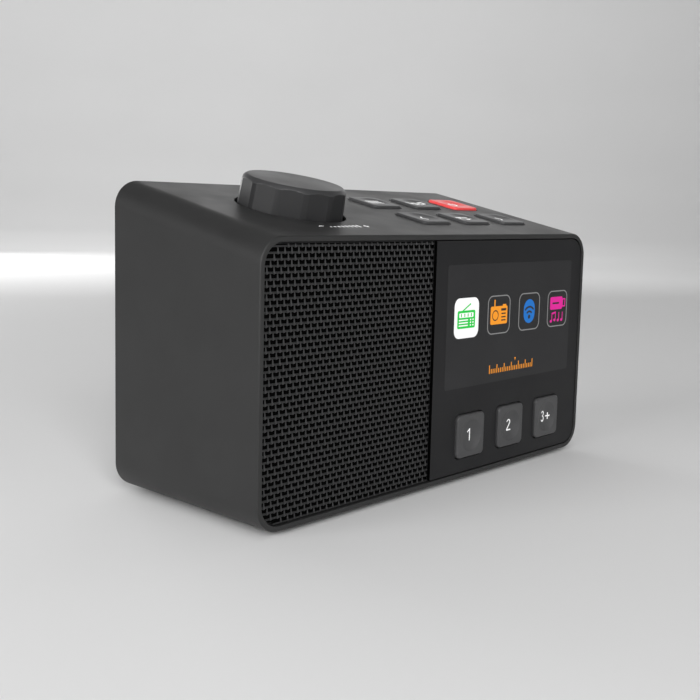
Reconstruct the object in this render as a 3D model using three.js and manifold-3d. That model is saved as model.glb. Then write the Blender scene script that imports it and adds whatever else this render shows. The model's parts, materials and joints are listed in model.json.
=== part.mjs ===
// Tabletop radio: a plastic sleeve with a sloping top, a speaker behind a woven grille, a display
// with three preset keys, six top keys, a volume knob and a telescopic rod aerial at the back.
//
// Millimetres. +Z is up, the front faces -Y. The origin is on the surface the radio stands on,
// under the middle of its overall width and depth.
//
// Pieces are laid out in the case's own frame: X from its middle, Y backwards from its front
// plane, Z up from its underside. Pieces on the sloping top are laid out in the plane of that
// top: X from the middle, Y up the slope from the front edge, Z out of the surface.

import * as THREE from 'three';
import { mergeVertices } from 'three/addons/utils/BufferGeometryUtils.js';
import Module from 'manifold-3d';

const wasm = await Module();
wasm.setup();

// ---------------------------------------------------------------- driving dimensions

// Case
const CASE_WIDTH = 180;
const CASE_DEPTH = 73;
const FRONT_HEIGHT = 89;
const BACK_HEIGHT = 105;
const CORNER_RADIUS = 9;
const WALL = 1.8;
const SEAM = 0.3;
const RISE = BACK_HEIGHT - FRONT_HEIGHT;
const SLOPE = Math.atan2(RISE, CASE_DEPTH);

// Feet
const FOOT_HEIGHT = 1.5;
const FOOT_RADIUS = 6;
const FOOT_X = 70;
const FOOT_FRONT_Y = 14;
const FOOT_BACK_Y = 60;

// Front: grille on the left, fascia on the right
const GRILLE_RIGHT = -8.85;
const GRILLE_SETBACK = 0.9;
const GRILLE_THICKNESS = 1.2;
const CLOTH_SETBACK = 2.4;
const CLOTH_THICKNESS = 0.4;
const CLOTH_MARGIN = 0.3;
const FASCIA_LEFT = -8.35;
const FASCIA_SETBACK = 0.35;
const FASCIA_THICKNESS = 2.25;
const BAFFLE_SETBACK = 3.2;
const BAFFLE_THICKNESS = 2;
const BAFFLE_MARGIN = 2;

// Display
const DISPLAY_X = 39.6;
const DISPLAY_Z = 55.95;
const DISPLAY_WIDTH = 82.4;
const DISPLAY_HEIGHT = 44.8;
const WINDOW_RADIUS = 1.2;
const WINDOW_THICKNESS = 1.5;
const MODULE_THICKNESS = 3.5;
const BOARD_THICKNESS = 1.6;

// Keys
const KEY_GAP = 0.4;
const KEY_FLANGE = 0.9;
const KEY_FLANGE_THICKNESS = 1;
const KEY_STEM_RADIUS = 1.6;
const KEY_STEM_LENGTH = 2.4;
const KEY_CLEARANCE = 0.75;
const KEY_RADIUS = 2;
const SWITCH_SIZE = 6;
const SWITCH_HEIGHT = 4.8;
const SWITCH_BODY_HEIGHT = 3.4;

const PRESET_WIDTH = 16.4;
const PRESET_HEIGHT = 16;
const PRESET_PITCH = 25.65;
const PRESET_X = 39.8;
const PRESET_Z = 15.5;
const PRESET_PROUD = 0.7;

const TOP_KEY_WIDTH = 16.2;
const TOP_KEY_DEPTH = 15.5;
const TOP_KEY_PITCH = 24.85;
const TOP_KEY_X = 35.85;
const TOP_KEY_ROWS = [23.25, 48.25];
const TOP_KEY_PROUD = 0.9;

// Knob and encoder
const KNOB_X = -45;
const KNOB_Y = 36.2;
const WELL_RADIUS = 19.2;
const WELL_DEPTH = 2.6;
const KNOB_RADIUS = 18.4;
const KNOB_SHOULDER_RADIUS = 18;
const KNOB_FACE_RADIUS = 16.5;
const KNOB_HEIGHT = 9.8;
const KNOB_CHAMFER = 1.5;
const KNOB_BOTTOM = -1.6;
const FLUTE_COUNT = 12;
const FLUTE_WIDTH = 6.8;
const FLUTE_DEPTH = 0.3;
const FLUTE_GAP = 0.5;
const SKIRT = 2.2;
const SHAFT_RADIUS = 3;
const SHAFT_NECK_RADIUS = 2.1;
const SHAFT_TOP = 5.7;
const BUSH_RADIUS = 3.4;
const ENCODER_SIZE = 12;
const ENCODER_HEIGHT = 6;

// Loudspeaker
const SPEAKER_X = -49;
const SPEAKER_Z = 44.5;
const SPEAKER_HOLE = 33;
const SPEAKER_FLANGE = 38.5;
const SPEAKER_SCREW_CIRCLE = 36;
const MAGNET_RADIUS = 22;

// Rear
const REAR_FACE = 72.6;
const REAR_THICKNESS = 2.4;
const REAR_SCREW_X = 82.5;
const REAR_SCREW_LOW = 14;
const REAR_SCREW_HIGH = 88;
const JACK_Z = 17;
const MAIN_BOARD_Z = 10;

// Aerial
const AERIAL_X = 72;
const AERIAL_Z = 92;
const AERIAL_Y = 78.9;
const AERIAL_DIAMETERS = [6, 5, 4, 3, 2];
const AERIAL_WALL = 0.4;
const AERIAL_MOUTH_X = -52;
const AERIAL_STEP = 2.5;
const AERIAL_LENGTH = 114;
const AERIAL_TIP_RADIUS = 2.6;
const AERIAL_TIP_LENGTH = 6;
const EAR_RADIUS = 3.4;
const EAR_THICKNESS = 1.5;
const LUG_HALF = 1.7;
const LUG_GAP = 0.2;

// The overall depth runs from the preset keys to the back of the folded aerial.
const AERIAL_BACK = AERIAL_Y + EAR_RADIUS;
const CASE_Y = -(AERIAL_BACK - PRESET_PROUD) / 2;

// Facets round a full turn, and round a quarter turn of an outline
const ROUND = 24;
const MEDIUM_ROUND = 16;
const SMALL_ROUND = 12;
const CORNER_FACETS = 2;

// ---------------------------------------------------------------- materials

function finish(color, roughness, metalness = 0) {
  return new THREE.MeshStandardMaterial({ color, roughness, metalness });
}

const FINISHES = {
  shell: () => finish(0x2b2b2c, 0.62),
  grille: () => finish(0x39393a, 0.5),
  cloth: () => finish(0x060606, 1),
  fascia: () => finish(0x161617, 0.4),
  window: () => finish(0x1c1c1e, 0.25),
  innerPlastic: () => finish(0x1d1d1e, 0.7),
  key: () => finish(0x303031, 0.55),
  redKey: () => finish(0xb32d30, 0.5),
  knob: () => finish(0x2c2c2d, 0.5),
  rubber: () => finish(0x121212, 0.9),
  steel: () => finish(0x8f9194, 0.35, 1),
  chrome: () => finish(0xc9ccd0, 0.15, 1),
  magnet: () => finish(0x34353a, 0.6),
  paper: () => finish(0x1a1917, 0.95),
  board: () => finish(0x12452c, 0.55),
  display: () => finish(0x0c0d10, 0.2),
};

// ---------------------------------------------------------------- geometry helpers

// Closed solid from a geometry, with its shared vertices merged.
function solid(geometry) {
  const bare = geometry.clone();
  bare.deleteAttribute('normal');
  bare.deleteAttribute('uv');
  const merged = mergeVertices(bare, 1e-4);
  const vertProperties = new Float32Array(merged.attributes.position.array);
  const triVerts = new Uint32Array(merged.index.array);
  return new wasm.Manifold(new wasm.Mesh({ numProp: 3, vertProperties, triVerts }));
}

function geometryOf(body) {
  const mesh = body.getMesh();
  const geometry = new THREE.BufferGeometry();
  geometry.setAttribute('position', new THREE.BufferAttribute(mesh.vertProperties, 3));
  geometry.setIndex(new THREE.BufferAttribute(mesh.triVerts, 1));
  geometry.computeVertexNormals();
  return geometry;
}

// A base geometry with others joined to it and then others cut out of it.
function shaped(base, { join = [], cut = [] }) {
  let body = solid(base);
  for (const piece of join) body = body.add(solid(piece));
  for (const piece of cut) body = body.subtract(solid(piece));
  return geometryOf(body);
}

function roundedOutline(x0, y0, x1, y1, radii) {
  const [lowLeft, lowRight, highRight, highLeft] = radii;
  const shape = new THREE.Shape();
  shape.moveTo(x0 + lowLeft, y0);
  shape.lineTo(x1 - lowRight, y0);
  if (lowRight > 0) shape.absarc(x1 - lowRight, y0 + lowRight, lowRight, -Math.PI / 2, 0);
  shape.lineTo(x1, y1 - highRight);
  if (highRight > 0) shape.absarc(x1 - highRight, y1 - highRight, highRight, 0, Math.PI / 2);
  shape.lineTo(x0 + highLeft, y1);
  if (highLeft > 0) shape.absarc(x0 + highLeft, y1 - highLeft, highLeft, Math.PI / 2, Math.PI);
  shape.lineTo(x0, y0 + lowLeft);
  if (lowLeft > 0) shape.absarc(x0 + lowLeft, y0 + lowLeft, lowLeft, Math.PI, Math.PI * 1.5);
  return shape;
}

// Rounded block centred on (x, y), from z0 to z1.
function block(x, y, width, depth, z0, z1, radius = 0) {
  const radii = [radius, radius, radius, radius];
  const [dx, dy] = [width / 2, depth / 2];
  const shape = roundedOutline(x - dx, y - dy, x + dx, y + dy, radii);
  const options = { depth: z1 - z0, bevelEnabled: false, curveSegments: CORNER_FACETS };
  return new THREE.ExtrudeGeometry(shape, options).translate(0, 0, z0);
}

// An outline drawn in X and Z, made into a plate from y0 to y1.
function plate(shape, y0, y1, curveSegments = CORNER_FACETS) {
  const options = { depth: y1 - y0, bevelEnabled: false, curveSegments };
  return new THREE.ExtrudeGeometry(shape, options).rotateX(Math.PI / 2).translate(0, y1, 0);
}

// Rounded plate centred on (x, z), from y0 to y1.
function frontBlock(x, z, width, height, y0, y1, radius = 0) {
  const radii = [radius, radius, radius, radius];
  const [dx, dz] = [width / 2, height / 2];
  return plate(roundedOutline(x - dx, z - dz, x + dx, z + dz, radii), y0, y1);
}

// A profile of [radius, distance along the axis] points turned about the Y axis.
function turned(profile, segments) {
  const points = profile.map(([radius, along]) => new THREE.Vector2(radius, along));
  return new THREE.LatheGeometry(points, segments);
}

function rod(radius, y0, y1, segments = SMALL_ROUND) {
  return turned([[0, y0], [radius, y0], [radius, y1], [0, y1]], segments);
}

function tube(outer, inner, y0, y1, segments = SMALL_ROUND) {
  return turned([[inner, y0], [outer, y0], [outer, y1], [inner, y1], [inner, y0]], segments);
}

// The same turned pieces with their axis along Z, or along -X.
const upright = (geometry) => geometry.rotateX(Math.PI / 2);
const sideways = (geometry) => geometry.rotateZ(Math.PI / 2);

// The case's section, smaller by an inset all round, from y0 to y1. Everything above half height
// rises with the slope, so the rounded top corners run up the slope with the top.
function sleeveBlock(inset, y0, y1) {
  const half = CASE_WIDTH / 2 - inset;
  const radius = CORNER_RADIUS - inset;
  const radii = [radius, radius, radius, radius];
  const shape = roundedOutline(-half, inset, half, FRONT_HEIGHT - inset, radii);
  const geometry = plate(shape, y0, y1, CORNER_FACETS + 1);
  const position = geometry.attributes.position;
  for (let i = 0; i < position.count; i += 1) {
    const lift = position.getZ(i) > FRONT_HEIGHT / 2 ? (RISE * position.getY(i)) / CASE_DEPTH : 0;
    position.setZ(i, position.getZ(i) + lift);
  }
  return geometry;
}

// From the top plane's frame to the case's frame.
const topPlane = new THREE.Matrix4().makeRotationX(SLOPE).setPosition(0, 0, FRONT_HEIGHT);
const onTop = (geometry) => geometry.applyMatrix4(topPlane);

// ---------------------------------------------------------------- assembly

const radio = new THREE.Group();
const caseGroup = new THREE.Group();
caseGroup.position.set(0, CASE_Y, FOOT_HEIGHT);
radio.add(caseGroup);

const topGroup = new THREE.Group();
topGroup.position.set(0, 0, FRONT_HEIGHT);
topGroup.rotation.x = SLOPE;
caseGroup.add(topGroup);

function addPiece(parent, name, geometry, material, position = [0, 0, 0]) {
  const mesh = new THREE.Mesh(geometry, material);
  mesh.name = name;
  mesh.position.set(...position);
  parent.add(mesh);
}

// ---------------------------------------------------------------- case shell

const topKeyPlaces = TOP_KEY_ROWS.flatMap((y) => [-1, 0, 1].map((column) => [
  TOP_KEY_X + column * TOP_KEY_PITCH,
  y,
]));
const presetPlaces = [-1, 0, 1].map((column) => [PRESET_X + column * PRESET_PITCH, PRESET_Z]);
const rearScrewPlaces = [
  [-REAR_SCREW_X, REAR_SCREW_LOW],
  [REAR_SCREW_X, REAR_SCREW_LOW],
  [-REAR_SCREW_X, REAR_SCREW_HIGH],
  [REAR_SCREW_X, REAR_SCREW_HIGH],
];
const BOSS_RADIUS = 4.2;
const BOSS_FRONT = 58;
const BOSS_BORE = 1.6;
const BOARD_POST_RADIUS = 3;
const BOARD_POST_TOP = MAIN_BOARD_Z - BOARD_THICKNESS - 0.1;
const boardPostPlaces = [[-18, 24], [74, 24], [-18, 62], [74, 62]];
const REAR_INNER = REAR_FACE - REAR_THICKNESS;
const BOSS_BACK = REAR_INNER - 0.3;
const REACH = 5;

// Boss beside the case's side wall, with a web that ties it to the wall.
function rearBoss([x, z]) {
  const side = Math.sign(x);
  const webEnd = CASE_WIDTH / 2 - WALL / 2;
  const webMiddle = side * (Math.abs(x) + webEnd) / 2;
  const web = frontBlock(webMiddle, z, webEnd - Math.abs(x), BOSS_RADIUS, BOSS_FRONT, BOSS_BACK);
  return [rod(BOSS_RADIUS, BOSS_FRONT, BOSS_BACK).translate(x, 0, z), web];
}

function shellGeometry() {
  const cupTop = -WALL / 2;
  const cupBottom = -WELL_DEPTH - WALL;
  const cup = rod(WELL_RADIUS + WALL, cupBottom, cupTop, ROUND);
  const well = rod(WELL_RADIUS, -WELL_DEPTH, REACH, ROUND);
  const bushHole = rod(BUSH_RADIUS + KEY_GAP, cupBottom - 1, 0);
  const centred = (geometry) => onTop(upright(geometry).translate(KNOB_X, KNOB_Y, 0));
  const keyHoles = topKeyPlaces.map(([x, y]) => onTop(block(
    x,
    y,
    TOP_KEY_WIDTH + 2 * KEY_GAP,
    TOP_KEY_DEPTH + 2 * KEY_GAP,
    -REACH,
    REACH,
    KEY_RADIUS + KEY_GAP,
  )));
  const boardPosts = boardPostPlaces.map(([x, y]) => (
    upright(rod(BOARD_POST_RADIUS, WALL / 2, BOARD_POST_TOP)).translate(x, y, 0)
  ));
  const boreOf = ([x, z]) => rod(BOSS_BORE, BOSS_FRONT - 1, CASE_DEPTH).translate(x, 0, z);
  const inside = sleeveBlock(WALL, -1, CASE_DEPTH + 1);
  const sleeve = shaped(sleeveBlock(0, 0, CASE_DEPTH), { cut: [inside] });
  return shaped(sleeve, {
    join: [centred(cup), ...boardPosts, ...rearScrewPlaces.flatMap(rearBoss)],
    cut: [centred(well), centred(bushHole), ...keyHoles, ...rearScrewPlaces.map(boreOf)],
  });
}

addPiece(caseGroup, 'case_shell', shellGeometry(), FINISHES.shell());

// ---------------------------------------------------------------- front: grille, cloth, fascia

const OPENING_HALF = CASE_WIDTH / 2 - WALL - SEAM;
const OPENING_LOW = WALL + SEAM;
const OPENING_HIGH = FRONT_HEIGHT - WALL - SEAM;
const OPENING_RADIUS = CORNER_RADIUS - WALL - SEAM;

function grillePlate(margin, y0, y1) {
  const radius = OPENING_RADIUS - margin;
  const shape = roundedOutline(
    -OPENING_HALF + margin,
    OPENING_LOW + margin,
    GRILLE_RIGHT - margin,
    OPENING_HIGH - margin,
    [radius, 0, 0, radius],
  );
  return plate(shape, y0, y1);
}

function fasciaGeometry() {
  const shape = roundedOutline(
    FASCIA_LEFT,
    OPENING_LOW,
    OPENING_HALF,
    OPENING_HIGH,
    [0, OPENING_RADIUS, OPENING_RADIUS, 0],
  );
  const back = FASCIA_SETBACK + FASCIA_THICKNESS;
  const windowHole = frontBlock(
    DISPLAY_X,
    DISPLAY_Z,
    DISPLAY_WIDTH + 2 * SEAM,
    DISPLAY_HEIGHT + 2 * SEAM,
    -1,
    back + 1,
    WINDOW_RADIUS + SEAM,
  );
  const keyHoles = presetPlaces.map(([x, z]) => frontBlock(
    x,
    z,
    PRESET_WIDTH + 2 * KEY_GAP,
    PRESET_HEIGHT + 2 * KEY_GAP,
    -1,
    back + 1,
    KEY_RADIUS + KEY_GAP,
  ));
  return shaped(plate(shape, FASCIA_SETBACK, back), { cut: [windowHole, ...keyHoles] });
}

function windowGeometry() {
  const back = FASCIA_SETBACK + WINDOW_THICKNESS;
  const size = [DISPLAY_WIDTH, DISPLAY_HEIGHT];
  return frontBlock(DISPLAY_X, DISPLAY_Z, ...size, FASCIA_SETBACK, back, WINDOW_RADIUS);
}

function baffleGeometry() {
  const back = BAFFLE_SETBACK + BAFFLE_THICKNESS;
  const speakerHole = rod(SPEAKER_HOLE, 0, back + 1, ROUND).translate(SPEAKER_X, 0, SPEAKER_Z);
  const around = (x, z, width, height) => frontBlock(
    x,
    z,
    width + 2 * BAFFLE_MARGIN,
    height + 2 * BAFFLE_MARGIN,
    0,
    back + 1,
  );
  const displayHole = around(DISPLAY_X, DISPLAY_Z, DISPLAY_WIDTH, DISPLAY_HEIGHT);
  const keyHole = around(PRESET_X, PRESET_Z, 2 * PRESET_PITCH + PRESET_WIDTH, PRESET_HEIGHT);
  const base = sleeveBlock(WALL + SEAM, BAFFLE_SETBACK, back);
  return shaped(base, { cut: [speakerHole, displayHole, keyHole] });
}

const grilleBack = GRILLE_SETBACK + GRILLE_THICKNESS;
const clothBack = CLOTH_SETBACK + CLOTH_THICKNESS;
addPiece(caseGroup, 'speaker_grille', grillePlate(0, GRILLE_SETBACK, grilleBack), FINISHES.grille());
const cloth = grillePlate(CLOTH_MARGIN, CLOTH_SETBACK, clothBack);
addPiece(caseGroup, 'grille_cloth', cloth, FINISHES.cloth());
addPiece(caseGroup, 'fascia_panel', fasciaGeometry(), FINISHES.fascia());
addPiece(caseGroup, 'display_window', windowGeometry(), FINISHES.window());
addPiece(caseGroup, 'front_baffle', baffleGeometry(), FINISHES.innerPlastic());

// ---------------------------------------------------------------- display module and its board

const MODULE_FRONT = 2.9;
const MODULE_BACK = MODULE_FRONT + MODULE_THICKNESS;
const DISPLAY_BOARD_FRONT = MODULE_BACK + 0.4;

function displayBlock(y0, y1) {
  return frontBlock(DISPLAY_X, DISPLAY_Z, DISPLAY_WIDTH + 1, DISPLAY_HEIGHT + 1, y0, y1);
}

const displayBoardBack = DISPLAY_BOARD_FRONT + BOARD_THICKNESS;
addPiece(caseGroup, 'display_module', displayBlock(MODULE_FRONT, MODULE_BACK), FINISHES.display());
addPiece(
  caseGroup,
  'display_board',
  displayBlock(DISPLAY_BOARD_FRONT, displayBoardBack),
  FINISHES.board(),
);

// ---------------------------------------------------------------- keys and their switch boards

// A key with its face at z = proud: cap, the flange that keeps it in, and the stem that works
// the switch. The panel it sits in runs from z = 0 down to -panel.
function keyGeometry(width, depth, proud, panel) {
  const flangeTop = -panel - SEAM;
  const flangeBottom = flangeTop - KEY_FLANGE_THICKNESS;
  const wide = width + 2 * KEY_FLANGE;
  const deep = depth + 2 * KEY_FLANGE;
  const cap = block(0, 0, width, depth, flangeTop - 0.5, proud, KEY_RADIUS);
  const flange = block(0, 0, wide, deep, flangeBottom, flangeTop, KEY_RADIUS);
  const stemBottom = flangeBottom - KEY_STEM_LENGTH;
  const stem = upright(rod(KEY_STEM_RADIUS, stemBottom, flangeBottom + 0.5));
  return shaped(cap, { join: [flange, stem] });
}

// Height of a board's face below the panel's outer face, so that each switch just clears a stem.
function boardDepth(panel) {
  return panel + SEAM + KEY_FLANGE_THICKNESS + KEY_STEM_LENGTH + KEY_CLEARANCE + SWITCH_HEIGHT;
}

// A board with its component side at z = 0, with one switch at each place.
function switchBoard([x0, y0, x1, y1], places) {
  const size = [x1 - x0, y1 - y0];
  const board = block((x0 + x1) / 2, (y0 + y1) / 2, ...size, -BOARD_THICKNESS, 0);
  const switches = places.flatMap(([x, y]) => [
    block(x, y, SWITCH_SIZE, SWITCH_SIZE, -0.5, SWITCH_BODY_HEIGHT),
    upright(rod(KEY_STEM_RADIUS, 0, SWITCH_HEIGHT)).translate(x, y, 0),
  ]);
  return shaped(board, { join: switches });
}

const KEY_NAMES = ['key_1', 'key_2', 'key_3', 'key_4', 'key_5', 'power_key'];
topKeyPlaces.forEach(([x, y], index) => {
  const geometry = keyGeometry(TOP_KEY_WIDTH, TOP_KEY_DEPTH, TOP_KEY_PROUD, WALL);
  const isPower = KEY_NAMES[index] === 'power_key';
  const material = isPower ? FINISHES.redKey() : FINISHES.key();
  addPiece(topGroup, `top_${KEY_NAMES[index]}`, geometry, material, [x, y, 0]);
});

const TOP_BOARD_EDGES = [-56, 12, 76, 59];
const TOP_BOARD_BOTTOM = -boardDepth(WALL);
const topBoard = switchBoard(TOP_BOARD_EDGES, topKeyPlaces);
addPiece(topGroup, 'top_key_board', topBoard, FINISHES.board(), [0, 0, TOP_BOARD_BOTTOM]);

// The preset keys stand in a group whose Z points out of the fascia.
const presetGroup = new THREE.Group();
presetGroup.position.set(0, FASCIA_SETBACK, 0);
presetGroup.rotation.x = Math.PI / 2;
caseGroup.add(presetGroup);

presetPlaces.forEach(([x, z], index) => {
  const proud = PRESET_PROUD + FASCIA_SETBACK;
  const geometry = keyGeometry(PRESET_WIDTH, PRESET_HEIGHT, proud, FASCIA_THICKNESS);
  addPiece(presetGroup, `preset_key_${index + 1}`, geometry, FINISHES.key(), [x, z, 0]);
});

const PRESET_BOARD_EDGES = [3, 5, 77, 26];
const presetBoard = switchBoard(PRESET_BOARD_EDGES, presetPlaces);
const presetDepth = -boardDepth(FASCIA_THICKNESS);
addPiece(presetGroup, 'preset_key_board', presetBoard, FINISHES.board(), [0, 0, presetDepth]);

// ---------------------------------------------------------------- knob and encoder

const knobGroup = new THREE.Group();
knobGroup.position.set(KNOB_X, KNOB_Y, 0);
topGroup.add(knobGroup);

function knobGeometry() {
  const hub = SHAFT_RADIUS + 3;
  const bore = SHAFT_RADIUS + 0.1;
  const skirt = KNOB_RADIUS - SKIRT;
  const hubBottom = KNOB_BOTTOM + 0.6;
  const hollowTop = KNOB_HEIGHT - 2.5;
  const body = upright(turned([
    [0, SHAFT_TOP + SEAM],
    [bore, SHAFT_TOP + SEAM],
    [bore, hubBottom],
    [hub, hubBottom],
    [hub, hollowTop],
    [skirt, hollowTop],
    [skirt, KNOB_BOTTOM],
    [KNOB_RADIUS, KNOB_BOTTOM],
    [KNOB_SHOULDER_RADIUS, KNOB_HEIGHT - KNOB_CHAMFER],
    [KNOB_FACE_RADIUS, KNOB_HEIGHT],
    [0, KNOB_HEIGHT],
  ], FLUTE_COUNT * 3));
  const reach = KNOB_SHOULDER_RADIUS - FLUTE_DEPTH + FLUTE_WIDTH / 2;
  const top = KNOB_HEIGHT - KNOB_CHAMFER - FLUTE_GAP;
  const flutes = Array.from({ length: FLUTE_COUNT }, (_, index) => {
    const flute = block(reach, 0, FLUTE_WIDTH, FLUTE_WIDTH, KNOB_BOTTOM - 1, top);
    return flute.rotateZ(((index + 0.5) * 2 * Math.PI) / FLUTE_COUNT);
  });
  return shaped(body, { cut: flutes });
}

function encoderGeometry() {
  const bushTop = KNOB_BOTTOM + 0.2;
  const bodyTop = -WELL_DEPTH - WALL - SEAM;
  const bodyBottom = bodyTop - ENCODER_HEIGHT;
  const body = block(0, 0, ENCODER_SIZE, ENCODER_SIZE, bodyBottom, bodyTop);
  const bush = upright(rod(BUSH_RADIUS, bodyTop - 1, bushTop));
  const bore = upright(rod(SHAFT_NECK_RADIUS + 0.1, bodyTop - 2, bushTop + 1));
  return shaped(body, { join: [bush], cut: [bore] });
}

function shaftGeometry() {
  const neckBottom = -WELL_DEPTH - WALL - 1.8;
  const neckTop = KNOB_BOTTOM + 0.5;
  return upright(turned([
    [0, neckBottom],
    [SHAFT_NECK_RADIUS, neckBottom],
    [SHAFT_NECK_RADIUS, neckTop],
    [SHAFT_RADIUS, neckTop],
    [SHAFT_RADIUS, SHAFT_TOP],
    [0, SHAFT_TOP],
  ], SMALL_ROUND));
}

const nutBottom = -WELL_DEPTH + SEAM;
const encoderNut = upright(tube(BUSH_RADIUS + 2, BUSH_RADIUS + 0.1, nutBottom, nutBottom + 0.8));
addPiece(knobGroup, 'volume_knob', knobGeometry(), FINISHES.knob());
addPiece(knobGroup, 'encoder_shaft', shaftGeometry(), FINISHES.steel());
addPiece(knobGroup, 'encoder_body', encoderGeometry(), FINISHES.steel());
addPiece(knobGroup, 'encoder_nut', encoderNut, FINISHES.steel());

// ---------------------------------------------------------------- loudspeaker

const speakerGroup = new THREE.Group();
speakerGroup.position.set(SPEAKER_X, BAFFLE_SETBACK + BAFFLE_THICKNESS + 0.2, SPEAKER_Z);
caseGroup.add(speakerGroup);

const CONE_RADIUS = 27;
const SURROUND_RADIUS = 33.5;
const COIL_RADIUS = 9;
const BASKET_DEPTH = 18;
const BASKET_BACK_RADIUS = 18;
const BASKET_SHEET = 1.2;
const BASKET_SLOT = { x: 26, size: 16, front: 4, back: 15 };
const SPEAKER_SCREW = { headRadius: 2.2, head: 1.4, shankRadius: 1.4, shank: 1.6 };
const MAGNET_DEPTH = 15;

function basketGeometry() {
  const body = turned([
    [SURROUND_RADIUS + 0.5, 0],
    [SPEAKER_FLANGE, 0],
    [SPEAKER_FLANGE, 1.6],
    [SURROUND_RADIUS, 1.6],
    [BASKET_BACK_RADIUS + 2, BASKET_DEPTH],
    [COIL_RADIUS + 1, BASKET_DEPTH],
    [COIL_RADIUS + 1, BASKET_DEPTH - BASKET_SHEET],
    [BASKET_BACK_RADIUS + 1, BASKET_DEPTH - BASKET_SHEET],
    [SURROUND_RADIUS - 1.5, 1],
    [SURROUND_RADIUS + 0.5, 1],
    [SURROUND_RADIUS + 0.5, 0],
  ], ROUND);
  const slots = [0, 1, 2, 3].map((index) => {
    const { x, size, front, back } = BASKET_SLOT;
    const slot = frontBlock(x, 0, size, size, front, back);
    return slot.rotateY((index * Math.PI) / 2);
  });
  const bore = SPEAKER_SCREW.shankRadius + SEAM;
  const holes = speakerScrewPlaces.map(([x, z]) => rod(bore, -1, 3).translate(x, 0, z));
  return shaped(body, { cut: [...slots, ...holes] });
}

const speakerScrewPlaces = [1, 3, 5, 7].map((eighth) => [
  SPEAKER_SCREW_CIRCLE * Math.cos((eighth * Math.PI) / 4),
  SPEAKER_SCREW_CIRCLE * Math.sin((eighth * Math.PI) / 4),
]);

const surround = turned([
  [CONE_RADIUS, 0.3],
  [CONE_RADIUS + 0.4, 0],
  [CONE_RADIUS + 3, -2],
  [SURROUND_RADIUS - 1, 0],
  [SURROUND_RADIUS, 0],
  [SURROUND_RADIUS, 0.6],
  [SURROUND_RADIUS - 1.2, 0.6],
  [CONE_RADIUS + 3, -1.3],
  [CONE_RADIUS + 0.4, 0.7],
  [CONE_RADIUS, 0.3],
], ROUND);
const cone = turned([
  [CONE_RADIUS - 0.3, 0.2],
  [CONE_RADIUS - 0.3, 0.8],
  [COIL_RADIUS, 12],
  [COIL_RADIUS, 16],
  [COIL_RADIUS - 0.6, 16],
  [COIL_RADIUS - 0.6, 11.6],
  [CONE_RADIUS - 0.3, 0.2],
], ROUND);
const dustCap = turned([[0, 6.4], [4, 7], [7.6, 9], [7.6, 9.6], [4, 7.6], [0, 7]], ROUND);
const magnetBack = BASKET_DEPTH + MAGNET_DEPTH;
const magnet = turned([
  [0, BASKET_DEPTH + 0.2],
  [MAGNET_RADIUS, BASKET_DEPTH + 0.2],
  [MAGNET_RADIUS, magnetBack - 2],
  [MAGNET_RADIUS - 1.5, magnetBack],
  [0, magnetBack],
], ROUND);
addPiece(speakerGroup, 'speaker_basket', basketGeometry(), FINISHES.steel());
addPiece(speakerGroup, 'speaker_surround', surround, FINISHES.rubber());
addPiece(speakerGroup, 'speaker_cone', cone, FINISHES.paper());
addPiece(speakerGroup, 'speaker_dust_cap', dustCap, FINISHES.paper());
addPiece(speakerGroup, 'speaker_magnet', magnet, FINISHES.magnet());

// A pan-head screw along Y with its head from y = 0 to head, and its shank in front of it.
function screwGeometry({ headRadius, head, shankRadius, shank }) {
  return turned([
    [0, -shank],
    [shankRadius, -shank],
    [shankRadius, 0],
    [headRadius, 0],
    [headRadius, head * 0.6],
    [headRadius * 0.7, head],
    [0, head],
  ], SMALL_ROUND);
}

speakerScrewPlaces.forEach(([x, z], index) => {
  const geometry = screwGeometry(SPEAKER_SCREW);
  addPiece(speakerGroup, `speaker_screw_${index + 1}`, geometry, FINISHES.steel(), [x, 1.7, z]);
});

// ---------------------------------------------------------------- main board and sockets

const SOCKETS = {
  power: { x: 6, width: 9, height: 11, bore: 3.1, pin: 0.9 },
  line: { x: 24, width: 7.5, height: 7.5, bore: 1.8 },
  headphone: { x: 40, width: 7.5, height: 7.5, bore: 1.8 },
};
const SOCKET_DEPTH = 13;
const SOCKET_FRONT = REAR_FACE - SOCKET_DEPTH - 0.2;
const USB = { x: 56, width: 8, height: 3.4, wall: 0.5, depth: 6 };
const MAIN_BOARD = { x: 28, y: 44, width: 100, depth: 50 };
const CHOKE_PLACES = [[-8, 34], [-8, 46], [6, 34]];
const CHOKE_RADIUS = 4;
const CHOKE_HEIGHT = 9;
const RISER_DEPTH = 6;
const USB_RISER_DEPTH = 3;
const TUNER = { x: 50, y: 34, width: 34, depth: 26, height: 4.8 };

function socketGeometry({ width, height, bore, pin }) {
  const base = frontBlock(0, 0, width, height, 0, SOCKET_DEPTH, 0.6);
  const mouth = rod(bore, SOCKET_DEPTH - 10, SOCKET_DEPTH + 1);
  const bored = shaped(base, { cut: [mouth] });
  if (!pin) return bored;
  return shaped(bored, { join: [rod(pin, SOCKET_DEPTH - 11, SOCKET_DEPTH - 1)] });
}

function usbGeometry() {
  const { width, height, wall, depth } = USB;
  const base = frontBlock(0, 0, width, height, 0, depth, 1);
  const mouth = frontBlock(0, 0, width - 2 * wall, height - 2 * wall, 1, depth + 1, 0.6);
  const tongue = frontBlock(0, 0.4, width - 4 * wall, 0.7, 0.5, depth - 0.6);
  return shaped(shaped(base, { cut: [mouth] }), { join: [tongue] });
}

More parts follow.
